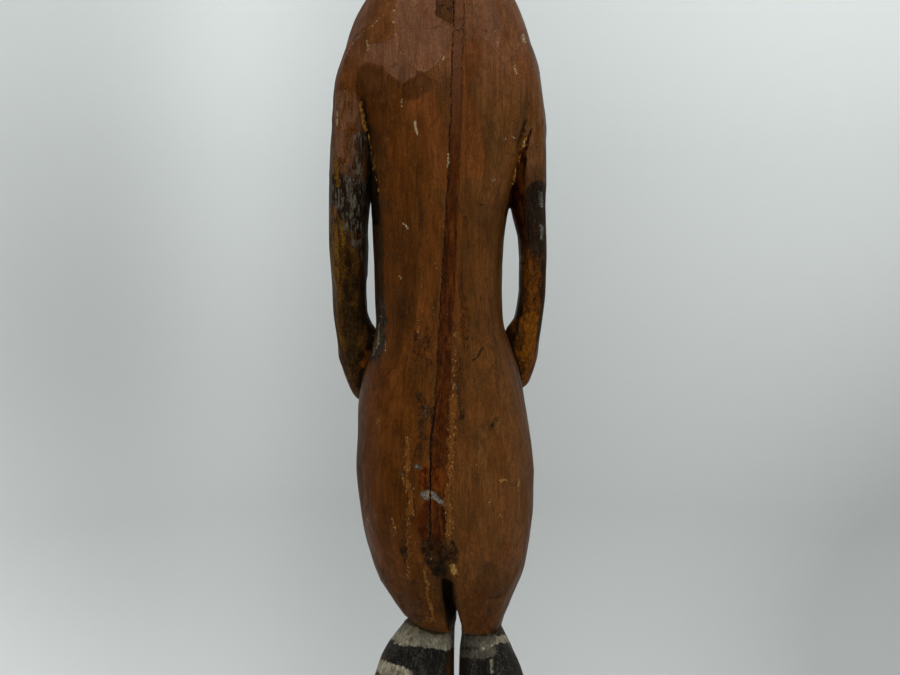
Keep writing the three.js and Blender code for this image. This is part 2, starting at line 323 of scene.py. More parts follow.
# Arms, with the hands laid on the front of the hips.
for name, rows in (("left_arm", LEFT_ARM), ("right_arm", RIGHT_ARM)):
    join(loft(rows, end_soft=6), 2.2, name)
for name, side, lift, out in (("left_hand", 1, 0, 0), ("right_hand", -1, 6, 1.5)):
    turn = turned(side * -38, 2)
    join(egg([side * (39 + out), -33.5, 274 + lift], [13.5, 6.6, 10.4], turn), 5, name)
    for k in range(4):
        reach = 15.5 + (0.8, 0, 0.6, 2.4)[k]
        join(
            finger(
                [side * (33 + out), -40.2, 281.2 + lift - 4.6 * k],
                [side * (reach + out), -47.4 + 0.4 * k, 280.4 + lift - 4.9 * k], 2.6, 2.1
            ),
            0.7, name
        )
    join(
        finger(
            [side * (42 + out), -31, 281 + lift], [side * (30 + out), -41, 289.5 + lift], 3.4, 2.4
        ),
        1.4, name
    )

# Feet, flat underneath, with toes parted by the knife. Y, half width, low Z, high Z, squareness.
SOLE = [
    (-47, 14, -7, 7, 2.5), (-41, 15.8, -9, 10.5, 2.5), (-28, 15.4, -12, 15, 2.4),
    (-12, 14.2, -16, 22.5, 2.3), (5, 13.6, -18, 27, 2.3), (18, 13, -15, 23, 2.3),
    (28.4, 9, -9, 12, 2.2)
]
for name, side, middle, width in (("left_foot", 1, 11.5, 1), ("right_foot", -1, -29.5, 0.96)):
    sole = [[y, middle - half * width, middle + half * width, *rest] for y, half, *rest in SOLE]
    join(loft(sole, end_soft=6, along=1), 6, name)
    for k in range(5):
        toe_x = middle + side * (-11.8 + 5.9 * k) * width
        tip_y = -48.6 + (0.4, 0, 1.2, 2.6, 4.6)[k]
        join(
            finger([toe_x, -36, 5.5], [toe_x, tip_y, 3.6], 3.5 if k else 3.9, 2.9 if k else 3.4),
            0.8, name
        )

# ---- shaping the head

# Height, half width, low Y, high Y, squareness.
HEAD = [
    (514, 18, -20, 17, 2), (524, 25, -37, 22, 2), (536, 30.5, -44, 27, 2.1),
    (552, 35, -45.5, 32, 2.2), (572, 38.5, -44.5, 36, 2.2), (592, 39, -42.5, 38, 2.2),
    (609, 36, -38, 36, 2.1), (622, 30, -31, 31, 2), (632, 22, -22, 23, 2), (638, 14.5, -14, 16, 2),
    (642, 5, -5, 6, 2)
]
NECK = [
    (498, 25, -24, 22, 2.1), (510, 23, -22, 21, 2.1), (522, 21, -20, 19, 2), (536, 20, -18, 18, 2)
]
HAIR_RISE = 1.9
HAIRLINE = (0.52, 0.854, 488)  # Y and Z of the plane's normal, and its distance


def mirrored(rows):
    return [[z, -half, half, *rest] for z, half, *rest in rows]


join(loft(mirrored(NECK), end_soft=3), 9, "neck")
join(loft(mirrored(HEAD), end_soft=4), 3, "head")
for side in (-1, 1):
    carve(egg([side * 18, -51, 573.5], [13, 9, 9.5]), 6)
    join(finger([side * 5, -43.8, 587.5], [side * 18, -41.4, 588.5], 2.2, 2.3), 4.5, "head")
    join(finger([side * 18, -41.4, 588.5], [side * 30, -30.5, 583], 2.3, 1.6), 4.5, "head")
    join(egg([side * 21, -36, 556], [12, 8, 12]), 9, "head")
join(finger([0, -38, 590], [0, -43.5, 563], 3.6, 7), 3, "head")
join(finger([0, -42.5, 589], [0, -50, 563], 3.2, 5), 3, "head")
join(egg([0, -50.5, 561], [6, 5, 4.8]), 2.5, "head")
for side in (-1, 1):
    join(egg([side * 6, -47, 560], [4, 5, 4]), 1.8, "head")
    carve(egg([side * 3.2, -51, 556.2], [1.7, 2.2, 1.6]), 0.8)
    join(egg([side * 17.5, -39.8, 572], [9.2, 4.4, 4.6], turned(side * -9, 2)), 1.6, "head")
    carve(finger([side * 10.4, -44.6, 571], [side * 17.5, -45.4, 570], 0.8, 0.9), 0.6)
    carve(finger([side * 17.5, -45.4, 570], [side * 25.2, -42.6, 571.6], 0.9, 0.8), 0.6)
join(egg([0, -43.5, 545], [11.5, 5.2, 3.6]), 3, "head")
join(egg([0, -43.2, 539.2], [9.6, 5.2, 3.6]), 2, "head")
carve(finger([-10.5, -48.3, 542.1], [10.5, -48.3, 542.1], 0.8, 0.8), 0.8)
carve(finger([0, -50.5, 552.5], [0, -49.8, 548.5], 1.2, 1.6), 1.5)
join(egg([0, -39, 528.5], [11, 8.5, 7.5]), 6, "head")

for name, side in (("left_ear", 1), ("right_ear", -1)):
    join(egg([side * 38, 0, 563.5], [5.8, 7.8, 13]), 2, name)
    carve(egg([side * 45, -0.8, 565], [4.4, 4.6, 8.5]), 2.2)
    join(egg([side * 41, -4.6, 562.5], [2.4, 2.4, 3.4]), 2, name)

hair_win, hair = loft(mirrored(HEAD), end_soft=4, grow=HAIR_RISE)
_, hair_y, hair_z = inside_of(hair_win)
hair = smooth_max(hair, HAIRLINE[2] - HAIRLINE[0] * hair_y - HAIRLINE[1] * hair_z, 1.2)
join((hair_win, hair), 0.5, "hair_cap")

# The soles are sawn flat.
field = np.maximum(field, -Z)

# ---- meshing


CORNERS = list(np.ndindex(2, 2, 2))


def weights(t, corner):
    """How much one corner of a cell counts at the place t in it, along X, Y and Z."""
    return [t[:, a] if corner[a] else 1 - t[:, a] for a in range(3)]


def sample(volume, points):
    """Trilinear values of a volume at points, with the gradient per millimetre."""
    place = (points - LOW) / VOXEL
    base = np.clip(np.floor(place).astype(int), 0, np.array(volume.shape) - 2)
    t = place - base
    value = np.zeros(len(points))
    gradient = np.zeros((len(points), 3))
    for dx, dy, dz in CORNERS:
        v = volume[base[:, 0] + dx, base[:, 1] + dy, base[:, 2] + dz]
        wx, wy, wz = weights(t, (dx, dy, dz))
        value += v * wx * wy * wz
        gradient[:, 0] += v * (2 * dx - 1) * wy * wz
        gradient[:, 1] += v * (2 * dy - 1) * wx * wz
        gradient[:, 2] += v * (2 * dz - 1) * wx * wy
    return value, gradient / VOXEL


def surface_of(volume):
    """Quads on the volume's zero surface, one point for each cell that the surface crosses."""
    solid = volume < 0
    total = np.zeros(np.array(volume.shape) - 1, np.int8)
    for a, b, c in CORNERS:
        total += solid[a : a + total.shape[0], b : b + total.shape[1], c : c + total.shape[2]]
    active = (total > 0) & (total < 8)
    i, j, k = np.nonzero(active)
    points = np.zeros((len(i), 3))
    hits = np.zeros(len(i))
    for a in CORNERS:
        for axis in range(3):
            if a[axis]:
                continue
            b = list(a)
            b[axis] = 1
            at_a = volume[i + a[0], j + a[1], k + a[2]]
            at_b = volume[i + b[0], j + b[1], k + b[2]]
            crossed = (at_a < 0) != (at_b < 0)
            t = at_a / np.where(crossed, at_a - at_b, 1)
            for column in range(3):
                points[:, column] += crossed * (a[column] + (t if column == axis else 0))
            hits += crossed
    points = points / hits[:, None] + np.stack([i, j, k], 1)
    number = np.full(active.shape, -1, np.int64)
    number[active] = np.arange(len(i))
    quads = []
    for axis in range(3):
        first, second = [a for a in range(3) if a != axis]
        low = [slice(None)] * 3
        high = [slice(None)] * 3
        low[axis], high[axis] = slice(None, -1), slice(1, None)
        rising = solid[tuple(low)].astype(np.int8) - solid[tuple(high)].astype(np.int8)
        at = np.stack(np.nonzero(rising), 1)
        at = at[(at[:, first] > 0) & (at[:, second] > 0)]
        ring = []
        for df, ds in ((0, 0), (-1, 0), (-1, -1), (0, -1)):
            cell = at.copy()
            cell[:, first] += df
            cell[:, second] += ds
            ring.append(number[cell[:, 0], cell[:, 1], cell[:, 2]])
        ring = np.stack(ring, 1)
        outward = rising[at[:, 0], at[:, 1], at[:, 2]] > 0
        if axis == 1:
            outward = ~outward
        ring[~outward] = ring[~outward][:, ::-1]
        quads.append(ring)
    return points * VOXEL + LOW, np.concatenate(quads)


points, quads = surface_of(field)
edges = np.sort(
    np.concatenate([quads[:, [0, 1]], quads[:, [1, 2]], quads[:, [2, 3]], quads[:, [3, 0]]]), axis=1
)
edges = np.unique(edges, axis=0)
valence = np.bincount(edges.ravel(), minlength=len(points))


def average(values):
    """The mean of each point's neighbours."""
    a, b = edges.T
    result = []
    for column in values.reshape(len(points), -1).T:
        total = np.bincount(a, column[b], len(points)) + np.bincount(b, column[a], len(points))
        result.append(total / valence)
    return np.stack(result, 1).reshape(values.shape)


def unit(vectors):
    return vectors / np.maximum(np.linalg.norm(vectors, axis=1, keepdims=True), 1e-9)


for _ in range(3):
    points += 0.5 * (average(points) - points)
    for _ in range(2):
        value, slope = sample(field, points)
        size = np.maximum((slope**2).sum(1), 0.05)
        points -= np.clip(value / size, -0.5, 0.5)[:, None] * slope
# The left shoulder runs into the arm without a crease until the armpit opens.
x, y, z = points.T
calm = np.clip((z - 431) / 9, 0, 1) * (z < 470) * (np.abs(x - 42) < 15) * (y > 2)
for _ in range(60):
    points += 0.6 * calm[:, None] * (average(points) - points)
flat_sole = points[:, 2] < 0.35
points[flat_sole, 2] = 0.0
normals = unit(sample(field, points)[1])
for _ in range(2):
    normals = unit(normals + average(normals))

place = np.clip(np.rint((points - LOW) / VOXEL).astype(int), 0, COUNT - 1)
label = owner[place[:, 0], place[:, 1], place[:, 2]].astype(int)
x, y, z = points.T
label[(label == LABEL["torso"]) & (z < HIP_Z)] = LABEL["hips_and_thighs"]
for side in ("left", "right"):
    label[(label == LABEL[side + "_arm"]) & (z > SHOULDER_Z)] = LABEL["torso"]
    label[(label == LABEL[side + "_arm"]) & (z < WRIST_Z)] = LABEL[side + "_hand"]
    label[(label == LABEL[side + "_calf"]) & (z < ANKLE_Z)] = LABEL[side + "_foot"]
    label[(label == LABEL[side + "_foot"]) & (z > ANKLE_Z)] = LABEL[side + "_calf"]

# ---- knife work

rng = np.random.default_rng(11)


# Large odd numbers that scramble a place, a seed and twice the result; only their spread matters.
PLACE_MIX = (73856093, 19349663, 83492791)
SEED_MIX, FIRST_MIX, LAST_MIX = 2654435761, 1274126177, 668265263
WORD, HALF_WORD = 0xFFFFFFFF, 0xFFFF


def noise(at, size, seed):
    """Smooth values from -1 to 1 that change over the given lengths."""
    place = at / np.array(size, float)
    base = np.floor(place).astype(np.int64)
    t = place - base
    t = t * t * (3 - 2 * t)
    total = np.zeros(len(at))
    for corner in CORNERS:
        mixed = np.bitwise_xor.reduce((base + corner) * PLACE_MIX, axis=1) ^ seed * SEED_MIX
        mixed = (mixed ^ (mixed >> 13)) * FIRST_MIX & WORD
        mixed = (mixed ^ (mixed >> 16)) * LAST_MIX & WORD
        value = (mixed >> 8 & HALF_WORD) / (HALF_WORD / 2) - 1
        wx, wy, wz = weights(t, corner)
        total += value * wx * wy * wz
    return total


def ramp(value, low, high):
    """0 below low, 1 above high, smooth between."""
    t = np.clip((value - low) / (high - low), 0, 1)
    return t * t * (3 - 2 * t)


def bump_at(centre, radii):
    """1 at a place on the carving and 0 away from it."""
    reach = sum(((points[:, a] - centre[a]) / radii[a]) ** 2 for a in range(3))
    return np.exp(-reach)


FACET_SIZE = 19.0  # millimetres across the grain
FACET_STRETCH = np.array([1.0, 1.0, 0.62])
# Facets don't run on from one of these groups to the next: how deep each group's are cut.
GROUPS = [
    (0.5, ("torso", "hips_and_thighs", "neck")),
    (0.4, ("head", "left_ear", "right_ear", "hair_cap")), (0.55, ("left_arm", "left_hand")),
    (0.55, ("right_arm", "right_hand")),
    (0.6, ("left_calf", "left_foot", "right_calf", "right_foot"))
]
group = np.zeros(len(points), int)
depth = np.zeros(len(points))
for number, (deepest, members) in enumerate(GROUPS):
    for member in members:
        group[label == LABEL[member]] = number
        depth[label == LABEL[member]] = deepest

scaled = points * FACET_STRETCH
jitter = rng.random(3)
cell = np.floor(scaled / FACET_SIZE + jitter).astype(int)
key = ((cell[:, 0] * 997 + cell[:, 1]) * 997 + cell[:, 2]) * 31 + group
order = rng.permutation(len(points))
_, first = np.unique(key[order], return_index=True)
seeds = order[first]
seed_normal = unit(normals[seeds] + 0.045 * rng.standard_normal((len(seeds), 3)))
seed_lift = -0.3 * rng.random(len(seeds))
seed_tone = rng.random(len(seeds))
first_cut = np.zeros(len(points))
edge_gap = np.zeros(len(points))
tone = np.zeros(len(points))
CHUNK = 20000
for start in range(0, len(points), CHUNK):
    part = slice(start, min(start + CHUNK, len(points)))
    near = (
        (scaled[part] ** 2).sum(1)[:, None]
        + (scaled[seeds] ** 2).sum(1)[None, :]
        - 2 * scaled[part] @ scaled[seeds].T
    )
    near += 500 * (1 - normals[part] @ normals[seeds].T)
    near += 1e4 * (group[part][:, None] != group[seeds][None, :])
    pair = np.argpartition(near, 2, axis=1)[:, :2]
    rows = np.arange(near.shape[0])
    swap = near[rows, pair[:, 0]] > near[rows, pair[:, 1]]
    pair[swap] = pair[swap][:, ::-1]
    cut = []
    for k in range(2):
        j = pair[:, k]
        lean = np.maximum((normals[part] * seed_normal[j]).sum(1), 0.55)
        away = ((points[seeds[j]] - points[part]) * seed_normal[j]).sum(1) + seed_lift[j]
        cut.append(np.clip(away / lean, -0.5, 0.8))
    apart = np.linalg.norm(scaled[seeds[pair[:, 0]]] - scaled[seeds[pair[:, 1]]], axis=1)
    gap = (near[rows, pair[:, 1]] - near[rows, pair[:, 0]]) / (2 * np.maximum(apart, 2.0))
    share = 0.5 + 0.5 * np.clip(gap / 1.3, 0, 1)
    first_cut[part] = share * cut[0] + (1 - share) * cut[1]
    edge_gap[part] = np.clip(gap, 0, 9)
    tone[part] = share * seed_tone[pair[:, 0]] + (1 - share) * seed_tone[pair[:, 1]]

shoulder = ramp(np.abs(x), 32, 38) * ramp(-np.abs(z - SHOULDER_Z), -12, -1)
depth *= 1 - shoulder
depth *= 1 - 0.75 * ramp(-np.abs(z - 320), -95, -60) * (group == 0)
front = ramp(-y, 22, 34)
face = front * ((label == LABEL["head"]) | (label == LABEL["neck"]))
depth *= 1 - face
for side in (-1, 1):
    depth *= 1 - 0.85 * bump_at([side * 20, -44, 420], [16, 14, 20])
    depth *= 1 - 0.8 * bump_at([side * 38, -38, 277], [26, 16, 16])
depth *= 1 - 0.9 * bump_at([-1, -47, 316], [12, 9, 12])
depth *= 1 - 0.8 * ramp(-y, 34, 42) * ramp(20 - z, 0, 6)

# The spine's painted stripe runs down the back with a slight wander.
SPINE = [
    [177, 0], [217, -0.6], [240, -1.3], [261, -2.6], [275, -3.6], [318, -5.5], [362, -7.8],
    [427, -10.8], [483, -12], [530, -12.6]
]
# Marks on the back are laid out flat, as they look from VIEW_Y behind the figure.
VIEW_X, VIEW_Y, VIEW_Z = -7.0, 560.0, 297.0
nearer = VIEW_Y / (VIEW_Y - y)
flat_x = VIEW_X + (x - VIEW_X) * nearer
flat_z = VIEW_Z + (z - VIEW_Z) * nearer
spine_x = np.interp(flat_z, *np.array(SPINE).T)
spine_x += 0.35 * noise(np.stack([0 * z, 0 * z, z], 1), (1, 1, 37), 3)
spine = flat_x - spine_x
back = ramp(normals[:, 1], 0.1, 0.5) * ramp(y, 2, 12)
rear = ramp(normals[:, 1], -0.45, -0.05) * ramp(y, -14, -4)
rear *= np.where(label <= LABEL["hips_and_thighs"], ramp(y, -2, 8) + (z < 175), 1).clip(0, 1)


def wavering(size, much, seed):
    """Places on the back, moved about by two sizes of noise so that marks get ragged edges."""
    moved = []
    for flat in (flat_x, flat_z):
        for s, m in zip(size, much):
            flat = flat + m * noise(points, s, seed)
            seed += 1
        moved.append(flat)
    return moved


def from_run(at_x, at_z, start, end):
    """How far places are from the straight run between two points."""
    (ax, az), (bx, bz) = start, end
    run_x, run_z = bx - ax, bz - az
    t = ((at_x - ax) * run_x + (at_z - az) * run_z) / max(run_x**2 + run_z**2, 1e-6)
    t = np.clip(t, 0, 1)
    return np.hypot(at_x - ax - t * run_x, at_z - az - t * run_z)


def inset(corners):
    """How far inside an outline on the back each place is; negative outside."""
    at_x, at_z = wavering([(4, 4, 4), (1.7, 1.7, 1.7)], (0.6, 0.35), 21)
    reach = np.full(len(points), 99.0)
    inside = np.zeros(len(points), bool)
    for start, end in zip(corners, corners[1:] + corners[:1]):
        reach = np.minimum(reach, from_run(at_x, at_z, start, end))
        (ax, az), (bx, bz) = start, end
        if bz != az:
            edge_x = ax + (bx - ax) * (at_z - az) / (bz - az)
            inside ^= ((az > at_z) != (bz > at_z)) & (at_x < edge_x)
    return np.where(inside, reach, -reach)


# Flat cuts on the back: how deep, how much each is painted grey as a painted sheen on rubbed paint,
# how much painted shade darkens it, and its outline.
FLATS = [
    (
        0.5, 1, 0,
        [
            (22, 503), (25.7, 484), (25.7, 471), (19, 460), (12.6, 452.4), (6.8, 451), (-1.2, 457),
            (-6, 467), (-7.5, 477), (1, 484), (1.7, 503)
        ]
    ),
    (
        0.6, 0.7, 0,
        [
            (43.8, 458), (41, 467), (30.7, 468.4), (25.7, 471), (19, 460), (12.6, 452.4),
            (12.6, 449.5), (20.6, 444.4), (27.8, 449.5), (32, 454.6)
        ]
    ),
    (0.4, 0.7, 0, [(-20, 503), (-21, 482), (-26, 471), (-36, 465), (-37, 480), (-31, 503)]),
    (0.3, 0, 0.22, [(-16, 462), (-24, 461), (-26, 452), (-21, 447), (-15, 451)]),
    (
        0.45, 0, 0.36,
        [
            (48, 454), (41, 455.3), (32, 454.6), (27.8, 449.5), (22, 443.7), (23.5, 439),
            (33.6, 435), (47, 438)
        ]
    ),
    (
        0.5, 0, 0.6,
        [
            (12, 449.4), (6.8, 451), (3.9, 445), (6, 439.4), (13.3, 435), (20.6, 435), (21, 443.7),
            (16, 446)
        ]
    ),
    (0.5, 0, 0.95, [(1.5, 503), (1.5, 485), (-3, 481), (-9.6, 478), (-10.5, 503)]),
    (0.5, 0, 0.3, [(-22, 158), (-30, 168), (-42, 160), (-39, 147), (-27, 144)]),
    (0.5, 0, 0.12, [(-14, 150), (-24, 151), (-29, 141), (-20, 134), (-13, 139)]),
    (0.55, 0, 0.4, [(-29, 146), (-36, 148), (-34, 136), (-28, 133)]),
    (0.5, 0, 0.25, [(-16, 136), (-28, 135), (-31, 127), (-16, 124)]),
    (0.5, 0, 0.3, [(24, 158), (12, 156), (9, 145), (22, 140)]),
    (0.45, 0, 0.12, [(31, 172), (22, 168), (24, 156), (33, 154)]),
    (0.5, 0, 0.4, [(21, 142), (9, 144), (7, 134), (18, 131)])
]
# The undercut walls where the arms leave the body, painted dark as shade.
WALLS = [
    [
        (45, 434), (41.2, 417), (40.8, 396), (40.2, 362), (33.2, 362), (34.3, 384), (36.4, 396),
        (38.5, 405), (40.7, 419)
    ],
    [
        (-55.6, 421), (-53.8, 413), (-51.7, 405), (-51.3, 391), (-50.6, 362), (-49.6, 345),
        (-44, 345), (-38.5, 368), (-40.9, 377), (-45.1, 391.5), (-48.4, 405), (-51, 412)
    ]
]


def painted(strokes):
    """Soft brush strokes on the back: a width, a strength and the X and Z of each place passed."""
    total = np.zeros(len(points))
    brush_x, brush_z = wavering([(5, 5, 6), (1.9, 1.9, 2.2)], (1, 0.45), 31)
    for width, strength, *path in strokes:
        path = list(zip(path[::2], path[1::2]))
        path = path if len(path) > 1 else path * 2
        near = np.full(len(points), 1e3)
        for start, end in zip(path, path[1:]):
            near = np.minimum(near, from_run(brush_x, brush_z, start, end))
        soft = 0.7 + 0.2 * width
        total = np.maximum(total, strength * (1 - ramp(near, width / 2 - soft, width / 2 + soft)))
    return total * rear


SIENNA = [
    (22, 0.8, 8, 430, 1, 408, -6, 392), (18, 0.8, -14, 434, -19, 416, -20, 396),
    (14, 0.85, -20, 464, -16, 450), (10, 0.95, 3, 372, 4, 340, 8, 315, 6, 287),
    (8, 0.7, -13, 320, -14, 296), (6, 0.8, -11, 368, -10, 328), (9, 0.6, 24, 284, 25, 250),
    (11, 0.6, 27, 238, 22, 224), (14, 0.6, 19, 152, 10, 140), (20, 0.8, -22, 148, -25, 134),
    (22, 0.6, 30, 258, 32, 236), (6, 0.7, -40, 176, -41, 158), (8, 0.8, -22, 131, -33, 131),
    (7, 0.5, 52, 470, 57, 452), (9, 0.5, -40, 470, -50, 452), (10, 0.5, -33, 240, -30, 225),
    (12, 0.45, 30, 176, 26, 162)
]
SOOTED = [
    (7, 0.5, 40, 424, 36, 404, 34, 384), (8, 0.45, 30, 416, 31, 396, 30, 372),
    (9, 0.34, 28, 433, 30, 427, 23, 426),
    (1.2, 1, 1.5, 491, -1.5, 488, -3.5, 489.5, -6, 486.5, -7.5, 488.5), (6, 0.34, 10, 435, 5, 428),
    (7, 0.32, -20, 453, -23, 446), (6, 0.34, -15, 440, -22, 436),
    (6.5, 0.95, 36, 374, 34.5, 350, 34, 330, 33, 306), (10, 0.8, 38, 305, 35, 296, 38, 287),
    (12, 0.62, 5, 176, -2, 173, -6, 169), (8, 0.95, 4.5, 169, 1, 164, -2, 160),
    (4, 0.55, 9, 179, 5, 176), (3, 0.55, -8, 178, -11, 172), (1.6, 0.5, -16, 400, -17, 340),
    (1.4, 0.45, 20, 410, 21, 330), (1.3, 0.5, -24, 380, -24, 310),
    (5, 0.5, 6.5, 302, 7, 290, 5, 282), (4, 0.45, 10, 296, 10, 286), (2, 0.5, -27, 352, -29, 318),
    (12, 0.42, 24, 372, 22, 340, 19, 306), (3, 0.5, 11, 376, 10, 350),
    (3, 0.45, -18, 352, -19, 322), (1.6, 0.5, 27, 352, 27, 320), (1.2, 0.5, -33, 300, -35, 262),
    (6, 0.5, 11, 264, 8, 254, 10, 246, 9, 238, 11, 228), (4, 0.6, 4, 256, 3, 248),
    (4, 0.5, 13, 300, 13, 284), (4.5, 0.5, -12.5, 284, -12.5, 262, -14, 250),
    (3.5, 0.5, -34, 250, -31, 244), (3, 0.6, 13.3, 294.5, 13.2, 287.5),
    (1.5, 1, -26.5, 291.5, -23, 286, -20, 284), (4, 0.6, -12.8, 278.5), (2.4, 1, -15.7, 366),
    (1.5, 1, -23, 375, -26, 374), (2.2, 0.8, -31.6, 246), (1.3, 0.5, -31.5, 248, -30, 243),
    (4, 0.34, -25.8, 180, -25.8, 160), (5, 0.5, -14, 333, -16, 290), (6, 0.34, -12, 268, -15, 240),
    (3, 1, -3.5, 198, -4.5, 194), (5, 0.45, 20, 190, 19, 168), (4, 0.5, -8, 156, -11, 146),
    (22, 0.8, 58, 383, 47, 379), (9, 0.62, 44, 413, 46, 400, 50, 390), (16, 0.9, 51, 370, 44, 364),
    (11, 0.6, 57, 364, 46, 352), (7, 0.7, 43.5, 352, 43.5, 322, 46, 300),
    (12, 0.62, 50, 330, 51, 300, 48, 280), (19, 1.1, -59, 378, -61, 356),
    (30, 0.5, -59, 384, -61, 350), (8, 0.7, -52, 352, -60, 345),
    (3, 0.8, -49, 340, -48, 312, -44, 296), (5, 0.9, -62, 340, -61.5, 315, -59, 296, -56, 281),
    (6, 0.6, -52, 275, -50, 268), (6, 0.7, 50, 276, 48, 264)
]
RUBBED = [
    (4, 1, 8.6, 206, 6, 203), (3.4, 1, 2, 205, -4.2, 199.5), (3.6, 1, 6.5, 208, 1, 204),
    (2.2, 0.9, 13, 222.5, 10, 221), (2.5, 0.8, 21.3, 218), (1.8, 0.75, 8, 257, 7, 252),
    (9, 0.6, -15, 121.5, -29, 121), (6, 0.6, -15, 113.5, -31, 114.5),
    (7, 0.62, 34, 307, 35, 297, 37, 289), (2.2, 0.7, -11.5, 269, -11, 267)
]
OCHRE = [
    (2, 0.95, 45.2, 433, 43.5, 425, 41.2, 417.5), (2, 0.52, 40.4, 414, 38.8, 404, 36.6, 394),
    (1.8, 0.44, 36, 391, 34.6, 382), (2.6, 1, -51.6, 412, -50, 408.5),
    (2.2, 0.52, -49.5, 407, -46.5, 397, -43, 385), (2.4, 0.5, 60, 440, 61.5, 420, 62, 405),
    (4, 0.72, 58.5, 400, 57.5, 386), (5.5, 0.75, 60.5, 360, 60, 345, 59.5, 330),
    (3.5, 0.62, 56, 364, 55, 350), (3.5, 0.42, 60, 326, 58.5, 300), (4, 0.4, 53, 345, 52, 312),
    (5, 0.68, -50, 338, -52, 328), (7, 1, -54, 309, -52.5, 292, -50, 278),
    (3.6, 0.8, 41, 289, 44.5, 280, 46.5, 270), (2.6, 0.7, -46, 297, -48, 285, -49, 277),
    (3.8, 0.86, 17.5, 238, 17, 226, 18.5, 215, 16, 205, 16.5, 195),
    (2.2, 0.76, 17, 195, 17.5, 178, 17.5, 158), (1.6, 0.8, 17, 178, 8, 178),
    (2.4, 0.62, -10.2, 300, -9.8, 280, -9, 264), (5, 0.76, -10, 264, -8, 246, -7.5, 230, -7.3, 216),
    (4.6, 0.92, -5.5, 209, -6, 197, -6.2, 182), (4, 0.85, -9, 263, -8.5, 252),
    (2, 1, 7.5, 163, 6.5, 150, 4, 140, 3.5, 133), (1.6, 0.7, 2, 152, 1.5, 143),
    (2.4, 1.1, -36.5, 213, -40, 214), (2, 1.1, -46.5, 216, -46.6, 209),
    (1.2, 0.7, -40.5, 214.5, -46, 214), (1.6, 0.95, -30.3, 205, -30.5, 198),
    (1.8, 0.85, -35.5, 196, -36, 193), (2, 0.95, 34.5, 248.5, 34, 245),
    (1.3, 0.85, 25.5, 192, 24, 183), (4, 1.2, -9, 162.5, -10, 160), (4, 0.5, 11, 135, 4, 132),
    (2, 0.3, 1, 340, 3, 305), (3, 0.42, 10, 312, 11, 296), (2.4, 0.5, -21.5, 226, -23, 214),
    (2, 0.55, 9, 338, 9, 318)
]
CHALKED = [
    (1.4, 1, 13.8, 422.7, 13.2, 418, 12, 415), (1.3, 0.9, -3.3, 459, -3, 457.4),
    (1, 0.8, 30, 449, 29.9, 445), (1.2, 0.8, -38, 412.5, -39.5, 412),
    (1.1, 0.8, -43.5, 412.8, -46.5, 412), (1.2, 0.8, -50.5, 411, -50.7, 407),
    (1, 0.8, -31, 389.5, -34, 388.5), (1.1, 0.85, -5.6, 403, -5.9, 397),
    (0.9, 0.75, 21, 436, 21.3, 431), (1, 0.6, 25.6, 487, 26, 480),
    (0.9, 0.55, 24, 469, 19.5, 461, 15, 456), (1, 0.5, -34, 476, -35, 466),
    (1.1, 0.7, 40.4, 469, 40, 464), (1, 0.5, 55, 457, 50, 466, 44, 473, 38, 478, 32, 484),
    (1.8, 0.7, 58.5, 427, 58, 420), (1.4, 0.75, -49, 472, -50, 468), (1.2, 0.7, -44, 455, -46, 450),
    (3.4, 0.6, -59.5, 380, -60.2, 374), (4.2, 0.6, -60, 361, -60.5, 355),
    (1.2, 1, 5.8, 208.5, 5.5, 203), (1.6, 0.62, 33.8, 304, 34.6, 297, 36, 291),
    (1.2, 0.8, 20, 362.5, 17.5, 360), (1.2, 0.8, 23, 333, 21, 331.5),
    (0.9, 0.62, 42, 195, 38.5, 184), (0.9, 0.6, 26, 193, 24, 184),
    (1.6, 0.64, -36.5, 213, -40, 214), (1.4, 0.64, -46.5, 216, -46.6, 209),
    (0.9, 0.62, 7.5, 162, 6.5, 150, 4.5, 141, 3.8, 135), (9.5, 0.66, 26, 128, 14, 128, -5.5, 126),
    (6.5, 1.1, 22.5, 123, 13, 121, -5.5, 119), (8, 0.85, 34, 107, 25, 103, 19, 101),
    (5.5, 0.72, -27, 118, -34, 121.5, -44, 123), (3, 1, -8.4, 163.5, -9.8, 160.5),
    (1.3, 0.8, -7.4, 167), (0.8, 0.9, 4.1, 168.4, 4, 167.2), (0.8, 0.6, 33, 310, 34, 300),
    (0.9, 0.6, 30.5, 296, 30, 289), (2.4, 0.5, 36.5, 296, 37.5, 287),
    (2.2, 0.62, -30.5, 110, -31.5, 102)
]
sienna, soot = painted(SIENNA), painted(SOOTED)
rubbed, ochre, chalk = painted(RUBBED), painted(OCHRE), painted(CHALKED)
# The lower calves, which wear the same bands all the way round.
for low, high in ((84, 93), (58, 66)):
    chalk = np.maximum(chalk, ramp(z, low - 1, low + 1) * (1 - ramp(z, high - 1, high + 1)))
around = 1 - rear
# The arms' black bands go all the way round too.
bands = ramp(z, 348, 360) * (1 - ramp(z, 384, 396)) * (label >= LABEL["left_arm"]) * (
    label <= LABEL["right_arm"]
)
soot = np.maximum(soot, 0.8 * around * bands)
chalk = np.maximum(
    chalk,
    around * ramp(z, 115, 118) * (label >= LABEL["left_calf"]) * (label <= LABEL["right_calf"])
)

still = 1 - np.maximum(face, ramp(-y, 40, 46) * (z > 500))
cuts = depth * first_cut
cuts += still * 0.45 * noise(points, (30, 30, 52), 5)
cuts += still * 0.10 * noise(points, (3.6, 3.6, 46), 6)
cuts += still * 0.08 * noise(points, (2.6, 2.6, 15), 7)
